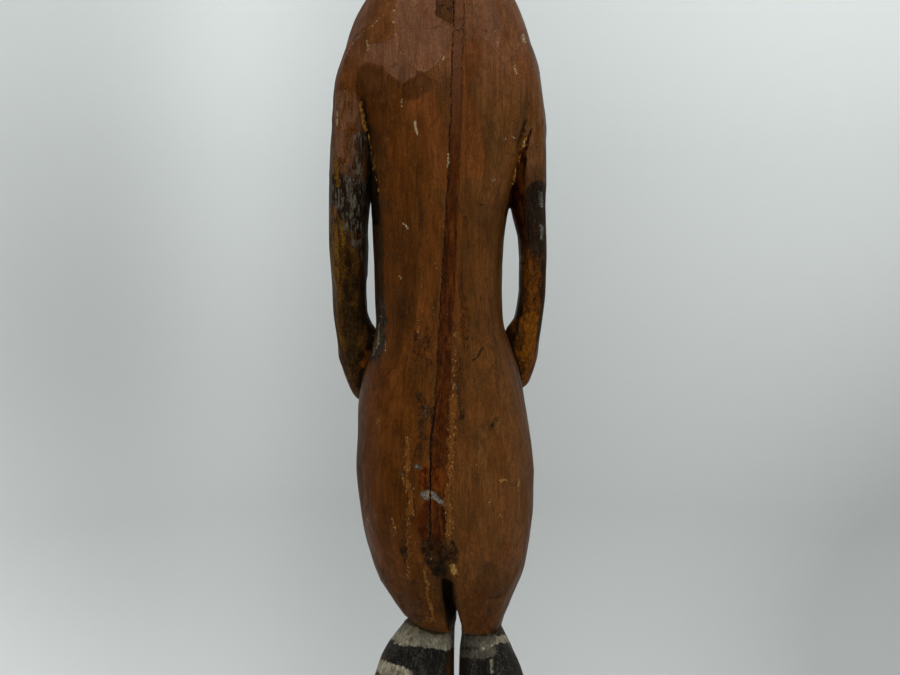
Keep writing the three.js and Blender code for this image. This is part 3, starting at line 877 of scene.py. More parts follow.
# Distances into the flats with a painted grey sheen, the flats with painted shade and the undercut
# places, and how strong each is.
OUTSIDE = -4.0
grey_sheen, flat_shade, wall = (np.full(len(points), OUTSIDE) for _ in range(3))
sheen_tone, flat_shade_tone = np.zeros(len(points)), np.zeros(len(points))
for sunk, grey, dark, corners in FLATS:
    inner = inset(corners)
    cuts -= rear * sunk * ramp(inner, -0.5, 1.0) * (1 - 0.06 * np.clip(inner, 0, 10))
    seen = np.where(rear > 0.2, np.clip(inner, OUTSIDE, 4), OUTSIDE)
    if grey:
        sheen_tone = np.where(seen > grey_sheen, grey, sheen_tone)
        grey_sheen = np.maximum(grey_sheen, seen)
    else:
        flat_shade_tone = np.where(seen > flat_shade, dark, flat_shade_tone)
        flat_shade = np.maximum(flat_shade, seen)
for corners in WALLS:
    wall = np.maximum(wall, np.where(y > -8, np.clip(inset(corners), OUTSIDE, 4), OUTSIDE))
cuts += 0.25 * ochre * (np.abs(x) < 30) * (z < 280) * noise(points, (2.4, 2.4, 3.6), 25)
cuts += 0.5 * soot * (z > 155) * (z < 182) * (np.abs(x) < 14) * noise(points, (2.2, 2.2, 2.6), 26)
cuts -= back * 0.42 * np.exp(-((np.abs(spine) / 3.1) ** 4)) * ramp(flat_z, 165, 185)
cuts -= back * 1.5 * np.exp(-(((x + 4) / 8) ** 2)) * ramp(-z, -200, -168) * ramp(z, 120, 160)
for _ in range(9):
    spot = points[rng.integers(len(points))]
    cuts -= still * 0.5 * bump_at(spot, [1.8, 1.8, 3.2])
cuts[flat_sole] = 0
tail = ramp(z, 0.3, 2.2)
points = points + (cuts * tail)[:, None] * normals
points[flat_sole, 2] = 0.0
points[:, 2] = np.maximum(points[:, 2], 0)

# How hollow or proud each place is, for painted shade and wear.
soft = points.copy()
for _ in range(10):
    soft += 0.6 * (average(soft) - soft)
hollow = ((soft - points) * normals).sum(1)
for _ in range(34):
    soft += 0.6 * (average(soft) - soft)
deep = ((soft - points) * normals).sum(1)
for _ in range(2):
    hollow += 0.5 * (average(hollow) - hollow)
    deep += 0.5 * (average(deep) - deep)

inside_gap = np.clip(-sample(uncut, points)[0], 0, 12)
FIELDS = {
    "spine": spine, "edge": edge_gap, "tone": tone, "hollow": hollow, "deep": deep,
    "gap": inside_gap, "grey_sheen": grey_sheen, "sheen_tone": sheen_tone, "flat_shade": flat_shade,
    "flat_shade_tone": flat_shade_tone, "wall": wall, "turned": np.abs(normals[:, 0]), "sienna": sienna,
    "soot": soot, "rubbed": rubbed, "ochre": ochre, "chalk": chalk
}

# ---- paint


def rgba(colour):
    """A colour is written in thousandths of full red, green and blue."""
    return *(c / 1000 for c in colour), 1.0


def grey(share):
    return (1000 * share,) * 3


class Value:
    """What one node gives. Values can be worked with like numbers."""

    def __init__(self, nodes, socket):
        self.nodes, self.socket = nodes, socket

    def __abs__(self):
        return self.nodes.math("ABSOLUTE", self)


SIGNS = {"add": "ADD", "sub": "SUBTRACT", "mul": "MULTIPLY", "truediv": "DIVIDE"}
for sign, operation in SIGNS.items():
    setattr(Value, f"__{sign}__", lambda a, b, kind=operation: a.nodes.math(kind, a, b))
    setattr(Value, f"__r{sign}__", lambda a, b, kind=operation: a.nodes.math(kind, b, a))


class Nodes:
    """A material made of nodes."""

    def __init__(self, name):
        self.material = bpy.data.materials.new(name)
        self.material.use_nodes = True
        self.tree = self.material.node_tree
        self.shader = self.tree.nodes["Principled BSDF"]
        self.where = self.make("ShaderNodeTexCoord", [], "Object")

    def make(self, kind, fed, out=0, **settings):
        """A new node, fed by number or by name, and what it gives."""
        node = self.tree.nodes.new(kind)
        for key, value in settings.items():
            setattr(node, key, value)
        for key, value in fed.items() if isinstance(fed, dict) else enumerate(fed):
            self.feed(node.inputs[key], value)
        return Value(self, node.outputs[out])

    def feed(self, socket, value):
        if isinstance(value, Value):
            self.tree.links.new(value.socket, socket)
        else:
            if socket.type == "RGBA":
                value = rgba(value)
            socket.default_value = value

    def finish(self, **fed):
        """The material, with its shader fed: underscores stand for spaces."""
        for key, value in fed.items():
            self.feed(self.shader.inputs[key.replace("_", " ")], value)
        return self.material

    def math(self, operation, *inputs):
        return self.make("ShaderNodeMath", inputs, operation=operation)

    def most(self, a, b):
        return self.math("MAXIMUM", a, b)

    def axes(self, place):
        node = self.make("ShaderNodeSeparateXYZ", [place]).socket.node
        return [Value(self, socket) for socket in node.outputs]

    def step(self, value, low, high):
        """0 at low, 1 at high, smooth between."""
        fed = {"Value": value, "From Min": low, "From Max": high}
        return self.make("ShaderNodeMapRange", fed, "Result", interpolation_type="SMOOTHSTEP")

    def band(self, value, low, high, soft):
        """1 between low and high, with soft edges."""
        return self.step(value, low - soft, low + soft) * self.step(value, high + soft, high - soft)

    def mix(self, share, a, b, blend="MIX"):
        fed = {0: share, 6: a, 7: b}
        return self.make("ShaderNodeMix", fed, 2, data_type="RGBA", blend_type=blend)

    def shade(self, value, low, high, a, b):
        """Colour a where the value is low, and b where it is high."""
        return self.mix(self.step(value, low, high), a, b)

    def blend(self, share, a, b):
        """A number between a and b."""
        return (1.0 - share) * a + share * b


class Paint(Nodes):
    """Paint for the carving. Places are in shaping millimetres."""

    def __init__(self, name):
        super().__init__(name)
        fed = [self.where, (1000.0,) * 3, tuple(-SHIFT)]
        self.place = self.make("ShaderNodeVectorMath", fed, operation="MULTIPLY_ADD")
        self.x, self.y, self.z = self.axes(self.place)
        nearer = VIEW_Y / self.most(VIEW_Y - self.y, 1.0)
        self.flat_x = (self.x - VIEW_X) * nearer + VIEW_X
        self.flat_z = (self.z - VIEW_Z) * nearer + VIEW_Z

    def noise(self, size, detail=4.0, rough=0.6, shift=0.0, twist=0.0):
        """Noise that changes over the given millimetres in X, Y and Z, or across and along."""
        size = (size[0], *size[-2:])
        fed = [self.place, tuple(1 / s for s in size), (shift,) * 3]
        at = self.make("ShaderNodeVectorMath", fed, operation="MULTIPLY_ADD")
        fed = {"Vector": at, "Scale": 1.0, "Detail": detail, "Roughness": rough}
        return self.make("ShaderNodeTexNoise", {**fed, "Distortion": twist}, "Fac")

    def field(self, name):
        return self.make("ShaderNodeAttribute", [], "Fac", attribute_name=name)

    def ramp(self, value, stops):
        made = self.make("ShaderNodeValToRGB", [value], "Color")
        ramp = made.socket.node.color_ramp
        while len(ramp.elements) < len(stops):
            ramp.elements.new(0.5)
        for element, (at, colour) in zip(ramp.elements, stops):
            element.position = at
            element.color = rgba(colour)
        return made

    def height(self, low, high):
        """0 low on the back and 1 high on it, or the other way about."""
        return self.step(self.flat_z, low, high)

    def by_height(self, low, high, a, b):
        return self.mix(self.height(low, high), a, b)

    def spot(self, cx, cz, rx, rz, ragged, shift):
        """A ragged patch on the back, 1 inside and 0 outside."""
        dx, dz = (self.flat_x - cx) / rx, (self.flat_z - cz) / rz
        reach = self.math("SQRT", dx * dx + dz * dz)
        reach += (self.noise((2.2, 3.0), 4, 0.7, shift) - 0.5) * (ragged * 4)
        return self.step(reach, 1.15, 0.85) * self.step(self.y, 2.0, 9.0)


def painted_wood(name, kind):
    """Earth paint over carved softwood, with painted sheen, light and shade: its colour, gloss and
    relief for one region.
    """
    m = Paint(name)
    streak = m.noise((1.7, 44), 4, 0.6, twist=0.15)
    coarse = m.noise((7, 34), 3, 0.58, 5, 0.3)
    fine = m.noise((0.6, 14), 3, 0.6, 7)
    patch = m.noise((9, 16), 4, 0.58, 45, 0.5)
    speck = m.noise((0.8, 1.2), 3, 0.7, 13)
    blot = m.noise((4.5, 6.5), 5, 0.68, 17, 0.6)
    zone = m.noise((17, 40), 3, 0.55, 3)

    def grain(low, high, noise, dark, light, colour):
        """Brush marks: the colour times a factor from dark to light."""
        share = m.step(noise, low, high)
        return m.mix(1, colour, m.mix(share, grey(dark), grey(light)), "MULTIPLY")

    def lay(share, over, blend="MIX"):
        """Paints over what is there."""
        nonlocal colour
        colour = m.mix(share, colour, over, blend)

    def worn(field, noise, reach=1.6, low=0.44, high=0.56):
        """A painted mark with a broken edge."""
        return m.step(m.field(field) + (noise - 0.5) * reach, low, high)

    # Painted light: the back is painted lighter towards negative X, the side the light comes from,
    # and darker towards positive X.
    across = m.step(m.x + (zone - 0.5) * 40, -34, 34)
    brown = m.mix(across, (110, 41.5, 10.8), (78, 21.2, 2.2))
    brown = m.shade(zone, 0.47, 0.58, brown, m.mix(across, (99, 39.5, 10.5), (59, 17, 1.8)))
    clean = m.mix(across, (122, 40, 8.5), (96, 25.5, 2.8))
    brown = m.mix(m.step(patch, 0.47, 0.56) * 0.5, brown, clean)
    # Painted sheen: the top of the back, which slopes up towards the light, is painted lighter and
    # greyer.
    high = m.step(m.flat_z + (blot - 0.5) * 60, 425, 470)
    top_sheen = m.shade(patch, 0.4, 0.6, (126, 48, 19), (162, 61, 26.5))
    top_sheen = m.shade(
        m.flat_x, 6, 24, top_sheen, m.shade(patch, 0.4, 0.6, (104, 35, 9), (140, 48, 15))
    )
    brown = m.mix(high * 0.8, brown, top_sheen)
    red = m.by_height(360, 420, (112, 33, 5.8), (140, 40, 9.2))
    waist = m.height(400, 350) * m.height(240, 280) * 0.28
    brown = m.mix(waist, brown, (40, 12.5, 2))
    colour = m.mix(worn("sienna", patch, 1.2, 0.22, 0.8) * 0.75, brown, red)
    # Painted shade: the lower thighs, which face down, are painted darker.
    low_shade = m.step(m.z + (blot - 0.5) * 30, 178, 150) * 0.42
    lay(low_shade, (20, 6.5, 1))

    relief = (streak - 0.5) * 0.26 + (fine - 0.5) * 0.12
    relief += (speck - 0.5) * 0.12 + (blot - 0.5) * 0.24
    rough = 0.46 + ((zone - 0.5) * 0.5 + (blot - 0.5) * 0.4)

    if kind == "arm":
        mottle = m.noise((4, 13), 5, 0.66, 37, 0.4)
        height = m.z + (m.noise((8, 14), 3, 0.6, 31) - 0.5) * 50
        side = m.step(m.x, -5, 5)  # 1 on the left arm
        shades = [
            (0.36, (8, 5, 2), (13, 6, 1.8)), (0.45, (25, 10, 2), (50, 14.5, 2)),
            (0.54, (56, 21.5, 2.4), (115, 33, 2.8)), (0.64, (130, 56, 5), (165, 52, 4.2))
        ]
        cool = m.ramp(mottle, [(at, left) for at, left, _ in shades])
        warm = m.ramp(mottle, [(at, right) for at, _, right in shades])
        dusty = m.shade(mottle, 0.44, 0.58, (86, 40, 20), (140, 66, 35))
        lay(m.step(patch, 0.42, 0.54) * m.blend(side, 0.35, 0.8), dusty)
        lay(m.step(height, 384, 356), m.mix(side, warm, cool))
        # Painted shade: the left arm is painted darker where it faces the body.
        facing_shade = m.step(m.flat_x, 47, 42) * (side * m.step(m.z, 425, 405))
        lay(facing_shade * 0.6, (30, 13, 4))

    if kind == "calf":
        earth = m.shade(blot, 0.42, 0.58, (26, 12, 2.5), (75, 30, 8))
        black = m.shade(m.noise((1.4, 9), 4, 0.7, 57), 0.5, 0.68, (8.5, 8.6, 8), (40, 40, 36))
        outward = abs(m.x + 11)
        edge_in = m.step(outward + (streak - 0.5) * 10, 7, 4) * m.step(m.x, -12, -10.5)
        edge_out = m.step(outward - (blot - 0.5) * 20, 39, 43) * m.step(m.z, 120, 112)
        colour = m.mix(m.most(edge_in * 0.85, edge_out), black, earth)
        brushed = m.noise((2.2, 8), 4, 0.68, 53, 0.3)
        white = m.ramp(
            brushed,
            [
                (0.34, (105, 83, 56)), (0.44, (200, 172, 120)), (0.54, (280, 248, 178)),
                (0.66, (400, 362, 275))
            ]
        )
        lay(worn("chalk", brushed * 0.6 + blot * 0.4, 1.6, 0.3, 0.6), white)
        lay(m.step(m.z + (streak - 0.5) * 8, 125, 132) * 0.6, (68, 46, 26))
        rough += 0.14

    if kind == "hair":
        colour = m.shade(streak, 0.35, 0.7, (8.5, 7.5, 6.5), (34, 22, 14))
        rough += 0.2

    # Places cut flat and rubbed, painted greyer as a painted sheen, flats painted dark as shade,
    # flakes down to the grey ground.
    def cut_in(name, soft=0.15):
        """1 inside the outlines that the field measures, with a crisp broken edge."""
        return m.step(m.field(name) + (speck - 0.5) * 1.1, -soft, soft)

    grey_sheen = m.mix(m.field("sheen_tone"), (98, 44, 20.5), (158, 68, 35))
    grey_sheen = m.mix(m.step(patch, 0.46, 0.62) * 0.6, grey_sheen, (150, 53, 22))
    lay(cut_in("grey_sheen") * 0.88, grey_sheen)
    lay(cut_in("flat_shade") * (m.field("flat_shade_tone") * 0.75), (34, 11, 3))
    edge_of = m.most(m.field("grey_sheen"), m.field("flat_shade"))
    # Painted shade along the outer edges of the cut flats.
    edge_shade = m.band(edge_of, -0.75, 0, 0.25) * m.step(coarse, 0.42, 0.52)
    lay(edge_shade * 0.28, (30, 11, 4))
    pale = m.shade(speck, 0.38, 0.64, (50, 46, 44), (220, 205, 180))
    scuffed = (85, 72, 54) if kind == "calf" else (60, 48, 34)
    flake = m.step(m.field("rubbed") + (speck - 0.5) * 0.7, 0.62, 0.8)
    lay(worn("rubbed", blot, 1.3, 0.3, 0.5) * 0.85, scuffed)
    lay(flake * 0.85, pale)

    smooth = m.blend(cut_in("grey_sheen"), 1, 0.4)
    calm = m.mix(smooth, (1000, 1000, 1000), m.shade(streak, 0.36, 0.64, grey(0.81), grey(1.15)))
    lay(1, calm, "MULTIPLY")
    colour = grain(0.4, 0.58, coarse, 0.86, 1.12, colour)
    colour = grain(0.4, 0.6, fine, 0.86, 1.12, colour)
    colour = grain(0.36, 0.62, speck, 0.86, 1.13, colour)
    dab = m.step(m.noise((3.2, 4.2), 5, 0.75, 25, 0.5), 0.46, 0.5)
    lay(1, m.mix(dab, grey(0.93), grey(1.03)), "MULTIPLY")
    hair_line = m.step(m.noise((0.5, 24), 2, 0.5, 47), 0.655, 0.71)
    hair_line *= m.step(coarse, 0.4, 0.56)
    lay(hair_line * 0.55, (20, 7.5, 2))
    lay(0.6, m.mix(m.field("tone"), (860, 850, 840), (1120, 1120, 1120)), "MULTIPLY")

    # Soot and burnt paint; on the arms the grey mottling in the black is a painted sheen.
    soot_and_arm_sheen = m.shade(speck * 0.6 + blot * 0.4, 0.4, 0.6, (8.5, 4.5, 2), (36, 17, 7))
    if kind == "arm":
        # Painted sheen: grey mottling in the black on the arms.
        sheen = m.noise((1.3, 8), 4, 0.72, 59) * 0.55 + blot * 0.45
        soot_and_arm_sheen = m.shade(sheen, 0.48, 0.58, (5, 4.4, 3.4), m.mix(side, (17, 14.5, 11), (98, 86, 64)))
        soot_and_arm_sheen = m.mix(m.step(sheen, 0.58, 0.62) * (side * 0.7), soot_and_arm_sheen, (150, 78, 14))
        soot_and_arm_sheen = m.by_height(352, 336, soot_and_arm_sheen, m.shade(sheen, 0.48, 0.58, (6, 4.2, 2), (24, 15, 5)))
    if kind == "back":
        charred = m.shade(
            m.noise((2.6, 3.6), 5, 0.75, 67, 0.8), 0.46, 0.54, (5, 2.6, 1.4), (46, 20, 7.5)
        )
        soot_and_arm_sheen = m.by_height(196, 186, soot_and_arm_sheen, charred)
        ashen = m.shade(m.noise((1.2, 4), 4, 0.75, 68), 0.46, 0.6, (5, 4.5, 3.4), (66, 60, 48))
        soot_and_arm_sheen = m.mix(m.step(m.flat_x, 26, 31) * m.height(330, 310), soot_and_arm_sheen, ashen)
    broken = streak * 0.55 + blot * 0.45 if kind == "arm" else blot
    covered = worn("soot", broken, 1.9, 0.3, 0.66)
    thick = m.step(m.field("soot"), 0.1, 0.8)
    covered *= m.blend(thick, 0.25, 0.94)
    lay(covered, soot_and_arm_sheen)
    rough += covered * 0.12

    on_back = m.step(m.y, 2, 9)
    if kind == "back":
        # A thick glossy red patch low on the hips.
        gloss = m.most(m.spot(3.2, 215.5, 8.4, 8.6, 0.16, 3), m.spot(3, 190, 9.5, 13.5, 0.12, 7))
        upper = m.height(201, 209)
        deep_red = m.shade(blot, 0.44, 0.54, (30, 5.2, 0.8), (66, 11.5, 1.4))
        licks = m.step(streak * 0.5 + blot * 0.5, 0.45, 0.56)
        deep_red = m.mix(upper * licks, deep_red, (125, 26, 2.8))
        lay(gloss * 0.94, deep_red)
        rough = m.blend(gloss * 0.75, rough, 0.2)
        spine = m.field("spine")
        wander = (m.noise((60, 14), 4, 0.6, 81) - 0.5) * 1.9
        drift = spine + wander
        off = abs(drift)
        half = m.blend(m.height(275, 450), 3.8, 2.75) + m.height(276, 258)
        stripe = m.step(off - half, 0.25, -0.1) * m.step(m.z, 170, 186) * on_back
        stripe *= 1 - gloss * upper * 0.85
        stripe_colour_and_sheen = m.ramp(
            m.noise((1.5, 13), 4, 0.68, 83) * 0.6 + blot * 0.4,
            [
                (0.38, (12, 3, 0.8)), (0.47, (35, 7.2, 1.3)), (0.56, (68, 15.5, 2.5)),
                (0.66, (125, 36, 6))
            ]
        )
        # Painted sheen: the stripe is painted lighter high on the back.
        stripe_colour_and_sheen = m.mix(m.height(395, 465) * 0.85, stripe_colour_and_sheen, (112, 42, 20))
        stripe_colour_and_sheen = grain(0.36, 0.62, speck, 0.78, 1.18, stripe_colour_and_sheen)
        fade = m.blend(m.step(m.z, 330, 420), 0.95, 0.7)
        lay(stripe * fade, stripe_colour_and_sheen)
        lay(flake * (m.height(230, 224) * 0.8), pale)
        jagged = drift + (m.noise((3, 2.2), 3, 0.7, 85) - 0.5) * 3.2
        left_edge = m.band(jagged - half, -0.2, 0.65, 0.2)
        right_edge = m.band(jagged + half, -0.45, 0.05, 0.3) * m.blend(high, 0.45, 0.8)
        dotted = m.step(m.noise((2.5, 3.2), 4, 0.75, 87), 0.44, 0.49)
        border = m.most(left_edge, right_edge) * (dotted * on_back)
        border *= m.step(m.z, 172, 190)
        lay(border * 0.9, (8, 3, 1.6))
        relief -= border * 0.5
        rough = m.blend(stripe * 0.6, rough, 0.36)

        def seam(at, sway, width, low, high_z, soft, shift):
            """A thin upright line on the back."""
            bend = (m.noise((50, 8), 5, 0.7, shift) - 0.5) * sway
            gap = abs(m.flat_x - (at + bend))
            return m.step(gap, width, width * 0.35) * m.band(m.flat_z, low, high_z, soft) * on_back

        lay(covered * m.height(188, 180), soot_and_arm_sheen)
        # Crazed, burnt paint.
        cracked = m.step(m.noise((1, 2), 4, 0.8, 49, 0.8), 0.535, 0.565)
        cracked *= m.step(m.field("soot"), 0.25, 0.5) * m.height(330, 310)
        lay(cracked * 0.85, (6, 3, 1.5))
        relief -= cracked * 0.3

        # The drying crack down the hips and another across the shoulders.
        lean = m.most(m.flat_z - 236, 0) * 0.16
        crack = seam(4.4 - lean, 3, 0.6, 180, 260, 5, 91)
        level = m.flat_z + (m.noise((6, 50, 50), 5, 0.7, 99) - 0.5) * 9
        across_gap = abs(level - (475.5 + (m.x + 12) * 0.05))
        high_crack = m.step(across_gap, 0.7, 0.2) * m.band(m.flat_x, -33, 10, 4) * on_back
        high_crack *= m.step(coarse, 0.42, 0.55) * 0.45
        crack = m.most(crack, high_crack)
        lay(crack, (4.5, 2.5, 1.5))
        relief -= crack * 0.9

    # Yellow ochre crumbs in the creases and seams.
    crumb = m.noise((1.2, 2.2), 4, 0.72, 61)
    strewn = m.noise((2.6, 9), 5, 0.7, 65) if kind == "arm" else crumb
    yellow = worn("ochre", strewn, 2.4, 0.48, 0.58)
    grit = m.shade(speck, 0.36, 0.62, (96, 29, 4.2), (170, 60, 11))
    if kind == "arm":
        grit = m.shade(speck, 0.4, 0.64, (60, 26, 1.8), (160, 80, 7))
        glow = m.step(m.noise((1.7, 7), 4, 0.72, 66, 0.4), 0.4, 0.6)
        grit = m.mix((1 - side) * 0.85, grit, m.mix(glow, (70, 21, 1.8), (235, 66, 3.2)))
        low_down = side * m.height(300, 291)
        grit = m.mix(low_down * 0.9, grit, m.mix(glow, (45, 9.5, 1.2), (200, 52, 4)))
    crumbs = (260, 115, 14) if kind == "arm" else (360, 215, 70)
    grit = m.mix(m.step(crumb, 0.59, 0.64) * 0.85, grit, crumbs)
    # Crumbs that sit in the dark beside an arm are painted brightest, a painted highlight against
    # the shade there.
    lit_crumbs = m.shade(crumb, 0.47, 0.56, (150, 50, 6), (560, 270, 48))
    grit = m.mix(m.step(m.field("wall"), -3, -1) * 0.9, grit, lit_crumbs)
    lay(yellow * 0.88, grit)
    shade = m.step(m.field("ochre") + (crumb - 0.5) * 2.6, 0.3, 0.48) * (1 - yellow)
    lay(shade * 0.45, (20, 8.5, 3))
    relief += yellow * 0.25

    # Chips down to the pale ground, dust, pits and scratches.
    if kind != "calf":
        bare = worn("chalk", speck, 1.8, 0.46, 0.6) * m.height(133, 136)
        ground = m.shade(speck, 0.4, 0.6, (220, 155, 75), (460, 360, 205))
        ground = m.mix(
            m.height(330, 260) * m.step(m.flat_x, 30, 24), ground,
            m.shade(speck, 0.4, 0.6, (180, 96, 22), (380, 235, 70))
        )
        ground = m.shade(
            m.flat_x, -50, -56, ground, m.shade(blot, 0.42, 0.6, (75, 66, 50), (240, 225, 190))
        )
        lay(bare * 0.9, ground)
        relief -= bare * 0.14
    rim = m.band(m.field("grey_sheen"), -0.2, 1.3, 0.5) * m.step(coarse, 0.46, 0.54)
    rim *= m.step(m.noise((1, 1), 4, 0.7, 71), 0.58, 0.63)
    dust = m.noise((0.75, 1), 2, 0.6, 73) + m.height(425, 470) * 0.035
    dust = m.step(dust, 0.7, 0.74) * m.step(coarse, 0.44, 0.58)
    nick = m.step(m.noise((1, 2.4), 3, 0.7, 75), 0.33, 0.29) * m.step(blot, 0.44, 0.56)
    fleck = m.most(rim * 0.75, dust * 0.55)
    lay(fleck, (330, 225, 115))
    lay(nick * 0.75, (12, 6, 3))
    relief -= nick * 0.35

    # Wear on the proud edges of the knife cuts, and painted shade in the hollows and between the
    # legs.
    hollow, deep = m.field("hollow"), m.field("deep")
    ridge = m.step(hollow, -0.03, -0.15) * m.step(speck, 0.45, 0.62)
    ridge *= 1 - covered * 0.85
    worn_to = (130, 115, 85) if kind == "calf" else (200, 75, 20)
    lay(ridge * 0.3, worn_to)
    line = m.step(m.field("edge"), 0.8, 0.1) * m.step(coarse, 0.42, 0.6)
    lay(line * 0.35, (26, 10, 4))
    # Painted shade: darker in the hollows, the deeper hollows and the gap between the legs.
    hollow_and_gap_shade = m.step(hollow + (speck - 0.5) * 0.12, 0.05, 0.24)
    hollow_and_gap_shade = m.most(hollow_and_gap_shade, m.step(deep + (streak - 0.5) * 0.6, 0.3, 1))
    hollow_and_gap_shade = m.most(hollow_and_gap_shade, m.step(m.field("gap") + (blot - 0.5) * 3, 0.6, 2.4))
    hollow_and_gap_shade *= 1 - m.most(yellow * 0.85, flake * 0.8)
    hollow_and_gap_shade *= 1 - m.band(m.flat_z, 437, 492, 3) * on_back
    if kind != "calf":
        hollow_and_gap_shade *= 1 - bare
    lay(hollow_and_gap_shade * 0.9, m.shade(m.z, 150, 125, (8.5, 5, 2.2), (22, 12, 3)))
    # The undercut walls beside the arms are painted dark as shade: sooty black beside the left arm,
    # dark red beside the right.
    undercut_shade = cut_in("wall", 0.2) * (1 - yellow * 0.9)
    bloody = m.shade(streak * 0.6 + blot * 0.4, 0.44, 0.56, (8.5, 1.7, 0.7), (50, 12.5, 1.5))
    black_side = m.shade(blot, 0.45, 0.6, (3, 1.8, 0.9), (12, 6, 3))
    lay(undercut_shade, m.shade(m.x, -5, 5, bloody, black_side))
    if kind == "back":
        # Painted light: an orange lit edge on the back beside the undercut at the right arm.
        lit_rim = m.band(m.field("wall"), -3.1, -0.5, 0.4) * (
            m.step(m.x, -30, -36) * m.band(m.z, 378, 410, 8)
        )
        lay(lit_rim * 0.6, (135, 43, 4.5))

    # Painted shade: the sides, turned away from the light, are painted darker, partly also dirt
    # from handling.
    side_shade_and_handling = m.step(m.field("turned") + (blot - 0.5) * 0.4, 0.66, 1) * 0.42
    side_shade_and_handling *= 1 - undercut_shade
    lay(side_shade_and_handling, (30, 12, 3.4))

    fed = {"Strength": 1, "Distance": 0.001, "Height": relief}
    return m.finish(
        Base_Color=colour, Roughness=m.math("MINIMUM", m.most(rough, 0.2), 0.95),
        Normal=m.make("ShaderNodeBump", fed, "Normal"),
        Specular_IOR_Level=0.03 if kind == "arm" else 0.055, Specular_Tint=(1000, 640, 360)
    )


MATERIALS = {
    kind: painted_wood("painted_wood_" + kind, kind) for kind in sorted(set(PAINTS.values()))
}

# ---- parting into pieces

quad_label = np.sort(label[quads], axis=1)
quad_label = np.where(quad_label[:, 1] == quad_label[:, 2], quad_label[:, 1], quad_label[:, 0])

corner_a = points[quads[:, 2]] - points[quads[:, 0]]
corner_b = points[quads[:, 3]] - points[quads[:, 1]]
face_normals = np.cross(corner_a, corner_b)
point_normals = np.zeros_like(points)
for corner in range(4):
    for c in range(3):
        point_normals[:, c] += np.bincount(quads[:, corner], face_normals[:, c], len(points))
point_normals = unit(point_normals)


def cut_faces(loops_of, count):
    """Fans that close a piece's cuts: new middle points and the triangles round them."""
    after = {}
    for a, b in loops_of:
        after.setdefault(a, []).append(b)
    middles, faces = [], []
    while after:
        start = next(iter(after))
        ring = [start]
        while True:
            nexts = after[ring[-1]]
            following = nexts.pop()
            if not nexts:
                del after[ring[-1]]
            if following == start:
                break
            ring.append(following)
        middles.append(ring)
        hub = count + len(middles) - 1
        faces += [(b, a, hub) for a, b in zip(ring, ring[1:] + ring[:1])]
    return middles, faces


def build_piece(name):
    """One closed piece of the carving, shaded as part of the whole surface."""
    mine = quads[quad_label == LABEL[name]]
    used, local = np.unique(mine, return_inverse=True)
    local = local.reshape(-1, 4)
    sides = np.concatenate([local[:, [k, (k + 1) % 4]] for k in range(4)])
    count = len(used)
    ways, times = np.unique(sides[:, 0] * count + sides[:, 1], return_counts=True)
    back_ways = ways % count * count + ways // count
    at = np.clip(np.searchsorted(ways, back_ways), 0, len(ways) - 1)
    spare = times - np.where(ways[at] == back_ways, times[at], 0)
    open_ways = np.repeat(ways, np.maximum(spare, 0))
    open_sides = np.stack([open_ways // count, open_ways % count], 1)
    rings, caps = cut_faces(open_sides.tolist(), count)
    spots = points[used]
    hubs = np.array([spots[ring].mean(0) for ring in rings]).reshape(-1, 3)
    mesh = bpy.data.meshes.new("carved_" + name)
    mesh.from_pydata(to_frame(np.concatenate([spots, hubs])).tolist(), [], local.tolist() + caps)
    piece = bpy.data.objects.new("carved_" + name, mesh)
    bpy.context.scene.collection.objects.link(piece)
    mesh.polygons.foreach_set("use_smooth", np.ones(len(mesh.polygons), bool))
    for key, values in FIELDS.items():
        stored = mesh.attributes.new(key, "FLOAT", "POINT")
        whole = np.concatenate([values[used], np.zeros(len(hubs))])
        stored.data.foreach_set("value", whole.astype(np.float32))
    mesh.update()
    shading = point_normals[used][local.ravel()]
    flat = np.zeros(len(mesh.polygons) * 3)
    mesh.polygons.foreach_get("normal", flat)
    caps_flat = np.repeat(flat.reshape(-1, 3)[len(local) :], 3, axis=0)
    mesh.normals_split_custom_set(np.concatenate([shading, caps_flat]).tolist())
    mesh.materials.append(MATERIALS[PAINTS[name]])
    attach(piece, "root")
    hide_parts(name)
    return piece


for name in PIECES:
    build_piece(name)

# ---- stage, light, camera


EYE_Y, EYE_Z = 0.5665, 0.297  # metres: where the camera stands


def paper():
    """The wall, unevenly lit: brighter high on the right, dimmer behind the figure and low down."""
    m = Nodes("paper")
    x, y, z = m.axes(m.where)
    away = m.most(EYE_Y - y, 0.4)
    across, up = x / away, (z - EYE_Z) / away
    level = 0.86
    for cx, cz, rx, rz, more in (
        (-0.40, 0.40, 0.40, 0.36, 0.20),
        (0.21, 0.22, 0.11, 0.50, 0.22),
        (0.25, -0.27, 0.30, 0.12, -0.08),
        (-0.90, -0.30, 0.50, 0.40, -0.80),
        (0.06, -0.12, 0.33, 0.46, -0.33),
        (0.40, 0.00, 0.30, 0.23, -0.18),
        (-0.34, 0.00, 0.20, 0.24, -0.02),
        (-0.44, -0.32, 0.26, 0.22, -0.09),
    ):
        dx, dz = (across - cx) / rx, (up - cz) / rz
        level = m.math("EXPONENT", (dx * dx + dz * dz) * -1.0) * more + level
    # Only the paper behind the figure, as the camera sees it, carries this light.
    level = (m.most(level, 0.45) - 0.84) * m.step(y, 0.1, -0.3) + 0.84
    fed = {0: (0.970, 1.0, 0.992), "Scale": level}
    tint = m.make("ShaderNodeVectorMath", fed, operation="SCALE")
    return m.finish(Base_Color=tint, Roughness=0.9, Specular_IOR_Level=0.2)


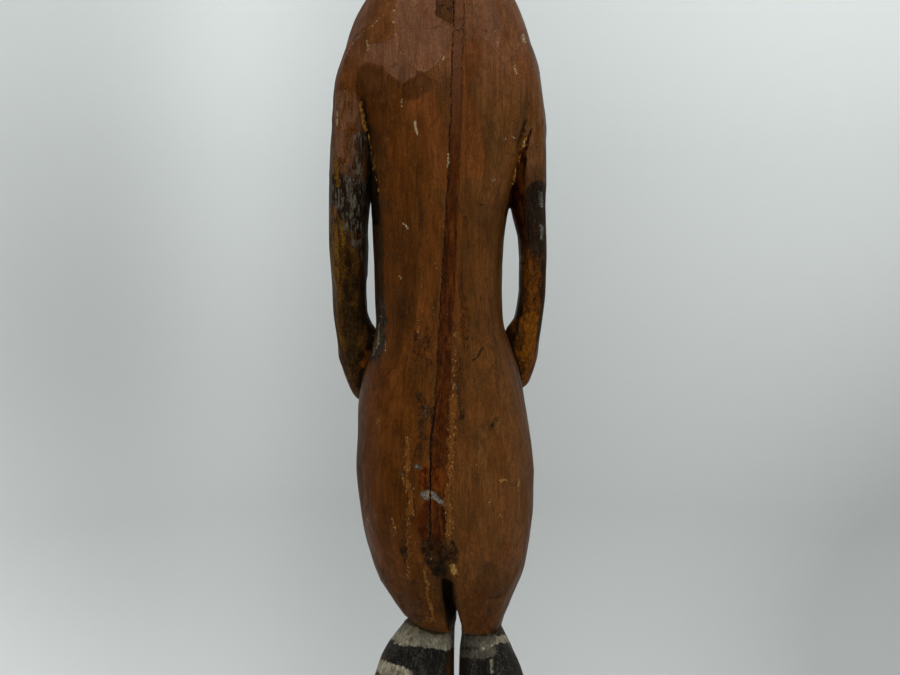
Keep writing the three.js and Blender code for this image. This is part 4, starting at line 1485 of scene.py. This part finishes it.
def build_stage():
    """A pale round floor that curves up into a wall on every side."""
    WALL_R, BEND, TOP_Z, TURNS, DROP = 1.9, 0.75, 2.3, 96, 0.0003
    profile = [(0.0, 0.0), (0.4, 0.0), (0.8, 0.0)]
    for step in range(17):
        angle = math.pi / 2 * step / 16
        profile.append((WALL_R - BEND + BEND * math.sin(angle), BEND - BEND * math.cos(angle)))
    profile.append((WALL_R, TOP_Z))
    verts = []
    for radius, height in profile:
        for turn in range(TURNS):
            angle = 2 * math.pi * turn / TURNS
            verts.append((radius * math.cos(angle), radius * math.sin(angle), height - DROP))
    faces = []
    for k in range(len(profile) - 1):
        for turn in range(TURNS):
            after = (turn + 1) % TURNS
            faces.append(
                (
                    k * TURNS + turn, k * TURNS + after, (k + 1) * TURNS + after,
                    (k + 1) * TURNS + turn
                )
            )
    mesh = bpy.data.meshes.new("backdrop")
    mesh.from_pydata(verts, [], faces)
    mesh.polygons.foreach_set("use_smooth", np.ones(len(faces), bool))
    sheet = bpy.data.objects.new("backdrop", mesh)
    bpy.context.scene.collection.objects.link(sheet)
    mesh.materials.append(paper())


def area_light(name, place, aim, size, power, colour=(1, 1, 1)):
    light = bpy.data.lights.new(name, "AREA")
    light.shape = "RECTANGLE"
    light.size, light.size_y = size
    light.energy = power
    light.color = colour
    lamp = bpy.data.objects.new(name, light)
    bpy.context.scene.collection.objects.link(lamp)
    lamp.location = place
    lamp.rotation_euler = (Vector(aim) - Vector(place)).to_track_quat("-Z", "Y").to_euler()


build_stage()
area_light("ceiling", (-0.25, 0.6, 2.1), (0, 0, 0.4), (1.2, 0.8), 15)
world = bpy.data.worlds.new("room")
world.use_nodes = True
world.node_tree.nodes["Background"].inputs["Color"].default_value = (1, 1, 1, 1)
world.node_tree.nodes["Background"].inputs["Strength"].default_value = 0.75
bpy.context.scene.world = world
bpy.context.scene.view_settings.view_transform = "Standard"

CAMERA_DISTANCE, VIEW_WIDTH = 560.0, 522.0  # millimetres, the width across at the figure's middle
camera_data = bpy.data.cameras.new("camera")
camera_data.sensor_width = 36
camera_data.lens = 36 * CAMERA_DISTANCE / VIEW_WIDTH
camera_data.clip_start = 0.01
camera = bpy.data.objects.new("camera", camera_data)
bpy.context.scene.collection.objects.link(camera)
camera.location = to_frame([-7.0, CAMERA_DISTANCE, 297.0])
camera.rotation_euler = (math.pi / 2, 0, math.pi)
bpy.context.scene.camera = camera
